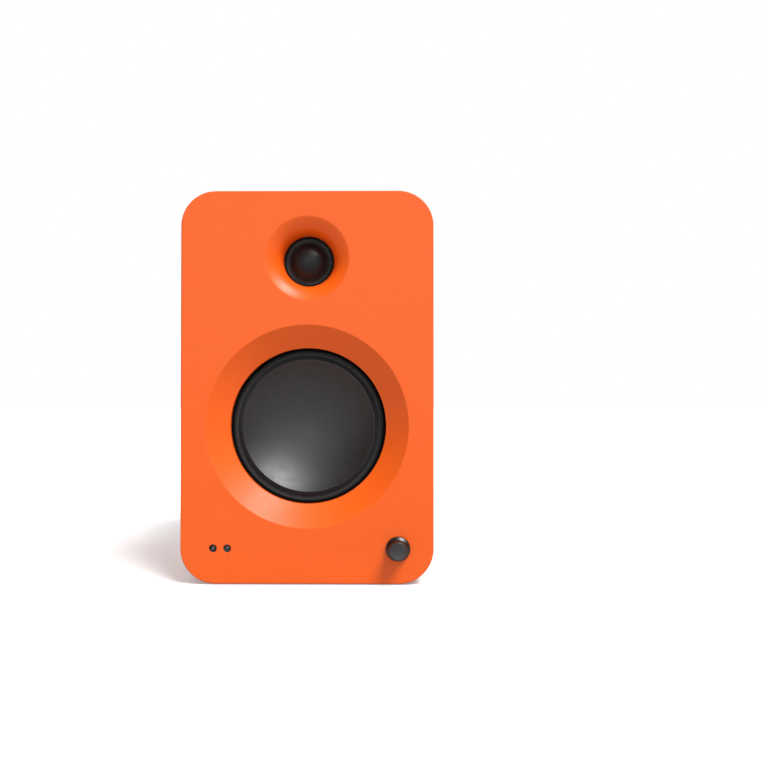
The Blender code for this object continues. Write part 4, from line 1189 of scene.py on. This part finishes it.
def mains_inlet():
    """A two-pin inlet: a flange with a rounded rim, a figure-eight well and two round pins."""
    floor = DEPTH - 0.0110
    body = outline(0.022, 0.016, 0.0008, x=INLET.x, z=INLET.z)
    well = figure_eight(0.0041, 0.0078, 0.0050, INLET.x, INLET.z)
    moulded_well("inlet_body", "mains_inlet", body, (0.030, 0.021, 0.003, 0.0005), INLET, well, floor)
    pin = [(0, 0), (0.0012, 0), (0.0012, 0.0102, 0.0008), (0, 0.0104)]
    for i, side in enumerate((-1, 1)):
        at = (INLET.x + side * 0.0043, FRONT + floor, INLET.z)
        turned(f"inlet_pin_{i + 1}", pin, "plated_steel", at, 24, 4)


def power_switch():
    """The switch's frame, and the rocker in it."""
    body = outline(0.013, 0.0194, 0.0006, x=SWITCH.x, z=SWITCH.z)
    room = outline(0.0106, 0.0176, 0.0004, 3, SWITCH.x, SWITCH.z)
    rim = (0.015, 0.0212, 0.0012, 0.0004)
    moulded_well("switch_bezel", "switch_frame", body, rim, SWITCH, room, DEPTH - 0.009)
    rocker()


def rocker():
    """The rocker as it stands at rest, tipped one way, with a printed bar and ring."""
    half, hub, edge = 0.0050, 0.0030, 0.0003
    side_view = softened(
        [
            (ROCKER_REACH, ROCKER_END, 0.0005), (0, ROCKER_CREST, 0.02), (-ROCKER_REACH, ROCKER_END, 0.0005),
            (-ROCKER_REACH, -0.0010, 0.0003), (-hub, -0.0018, 0.001), (-hub * 0.5, -0.0042, 0.001),
            (hub * 0.5, -0.0042, 0.001), (hub, -0.0018, 0.001), (ROCKER_REACH, -0.0010, 0.0003),
        ]
    )
    skin = Skin()
    rings = []
    for x, inset in ((-half, edge), (-half + edge, 0), (half - edge, 0), (half, edge)):
        shrink = 1 - inset / ROCKER_REACH
        places = [leaned(up * shrink, out - math.copysign(inset, out)) for up, out in side_view]
        rings.append([skin.shape.verts.new((x, *at)) for at in places])
    for near, far in zip(rings, rings[1:]):
        skin.join(near, far)
    skin.cap(rings[0])
    skin.cap(rings[-1])
    at = back_at(SWITCH)
    piece("rocker", skin, "black_plastic", "power_rocker", at, "power_rocker", sharp=35)

    marks = Skin()
    mark_up, wide, tall = 0.0046, 0.0004, 0.0022
    low, high = mark_up - tall / 2, mark_up + tall / 2
    rocker_mark(marks, [(wide / 2, low), (wide / 2, high), (-wide / 2, high), (-wide / 2, low)])
    outer, inner, parts = 0.0013, 0.0009, 24
    for k in range(parts):
        a, b = math.tau * k / parts, math.tau * (k + 1) / parts
        corners = ((outer, a), (outer, b), (inner, b), (inner, a))
        rocker_mark(marks, [(r * math.cos(t), r * math.sin(t) - mark_up) for r, t in corners])
    piece("rocker_marks", marks, "print_ink", "power_rocker", at, even=False)


def leaned(up, out):
    """(y, z) of a point on the rocker, given along it and off it."""
    lean = ROCKER_LEAN
    return up * math.sin(lean) + out * math.cos(lean), up * math.cos(lean) - out * math.sin(lean)


def rocker_mark(skin, points):
    """A thin printed prism on the rocker's face, from (x, up) points."""
    levels = []
    for lift in (0.0, 0.00005):
        level = []
        for x, up in points:
            out = ROCKER_CREST - (ROCKER_CREST - ROCKER_END) * abs(up) / ROCKER_REACH + lift
            level.append(skin.shape.verts.new((x, *leaned(up, out))))
        levels.append(level)
    low, high = levels
    skin.cap(low)
    skin.cap(high)
    skin.join(low, high)


# ---- Stage -----------------------------------------------------------------------------------
KEY_DIRECTION = Vector((0.385, -0.41, 0.83)).normalized()
KEY_POWER = 3.7
KEY_ANGLE = 24.0  # degrees across, which sets how soft the shadows are
SKY_BASE = 0.05
SKY_FRONT = 1.83
SKY_REAR = 1.5
FLOOR_SEEN = 0.93
FLOOR_GLOW = 0.24
FLOOR_BOUNCE = 0.44


def white_floor():
    """A white floor that looks paler to the camera than it is to the light it sends back."""
    mesh = bpy.data.meshes.new("floor")
    far = 12.0
    mesh.from_pydata([(-far, -far, 0), (far, -far, 0), (far, far, 0), (-far, far, 0)], [], [(0, 1, 2, 3)])
    made = add_object("floor", mesh)
    material = bpy.data.materials.new("floor_white")
    material.use_nodes = True
    tree = material.node_tree
    tree.nodes.remove(tree.nodes["Principled BSDF"])
    path = tree.nodes.new("ShaderNodeLightPath")
    seen = tree.nodes.new("ShaderNodeBsdfDiffuse")
    seen.inputs["Color"].default_value = (FLOOR_SEEN,) * 3 + (1,)
    bounce = tree.nodes.new("ShaderNodeBsdfDiffuse")
    bounce.inputs["Color"].default_value = (FLOOR_BOUNCE,) * 3 + (1,)
    glow = tree.nodes.new("ShaderNodeEmission")
    glow.inputs["Strength"].default_value = FLOOR_GLOW
    lit = tree.nodes.new("ShaderNodeAddShader")
    mix = tree.nodes.new("ShaderNodeMixShader")
    for source, target in (
        (seen.outputs[0], lit.inputs[0]),
        (glow.outputs[0], lit.inputs[1]),
        (path.outputs["Is Camera Ray"], mix.inputs["Fac"]),
        (bounce.outputs[0], mix.inputs[1]),
        (lit.outputs[0], mix.inputs[2]),
        (mix.outputs[0], tree.nodes["Material Output"].inputs["Surface"]),
    ):
        tree.links.new(source, target)
    mesh.materials.append(material)


def studio():
    """A large soft key from the upper right, a pale wall in front, and a weaker light high behind."""
    lamp = bpy.data.lights.new("key", "SUN")
    lamp.energy = KEY_POWER
    lamp.angle = math.radians(KEY_ANGLE)
    key = add_object("key", lamp)
    key.rotation_euler = (-KEY_DIRECTION).to_track_quat("-Z", "Y").to_euler()

    world = bpy.data.worlds.new("studio")
    world.use_nodes = True
    bpy.context.scene.world = world
    tree = world.node_tree

    def maths(operation, *inputs):
        made = tree.nodes.new("ShaderNodeMath")
        made.operation = operation
        for socket, value in zip(made.inputs, inputs):
            if isinstance(value, (int, float)):
                socket.default_value = value
            else:
                tree.links.new(value, socket)
        return made.outputs[0]

    direction = tree.nodes.new("ShaderNodeSeparateXYZ")
    tree.links.new(tree.nodes.new("ShaderNodeTexCoord").outputs["Generated"], direction.inputs[0])
    forward = maths("MULTIPLY", direction.outputs["Y"], -1.0)
    front = maths("POWER", maths("MAXIMUM", forward, 0.0), 4.0)
    upward = maths("MULTIPLY", direction.outputs["Z"], 0.66)
    behind = maths("MULTIPLY_ADD", direction.outputs["Y"], 0.75, upward)
    rear = maths("POWER", maths("MAXIMUM", behind, 0.0), 4.0)
    lit_front = maths("MULTIPLY_ADD", front, SKY_FRONT, SKY_BASE)
    light = maths("MULTIPLY_ADD", rear, SKY_REAR, lit_front)
    seen = tree.nodes.new("ShaderNodeMix")
    seen.inputs["B"].default_value = 1.0
    tree.links.new(light, seen.inputs["A"])
    tree.links.new(tree.nodes.new("ShaderNodeLightPath").outputs["Is Camera Ray"], seen.inputs["Factor"])
    background = tree.nodes["Background"]
    tree.links.new(seen.outputs["Result"], background.inputs["Strength"])
    background.inputs["Color"].default_value = (1, 1, 1, 1)
    bpy.context.scene.view_settings.view_transform = "Standard"


def camera():
    data = bpy.data.cameras.new("camera")
    data.sensor_width = 36.0
    data.lens = 38.13
    data.shift_x = 0.0092
    data.shift_y = 0.0082
    made = add_object("camera", data)
    made.location = (0.0572, FRONT - 0.603, 0.1367)
    made.rotation_euler = (math.radians(90.7), 0, math.radians(0.5))
    bpy.context.scene.camera = made


for build in (
    front_panel, cabinet_wrap, feet, rear_board, port, foam_lining, woofer_dish, woofer_roll, woofer_spider,
    woofer_shade_gasket, tweeter_dome, tweeter_roll, tweeter_face, volume_knob, indicators, amplifier_plate,
    print_on_plate, screws, drive_unit_screws, terminals, phono_sockets, aux_socket, optical_socket,
):
    build()
drawn_socket("usb", "usb_c_socket", USB, (0.0090, 0.0034), 0.0016, 0.0003, (0.0064, 0.0008), 12)
drawn_socket("hdmi", "hdmi_socket", HDMI, (0.0150, 0.0056), 0.0007, 0.0004, (0.0110, 0.0012), 10)
mains_inlet()
power_switch()
white_floor()
studio()
camera()
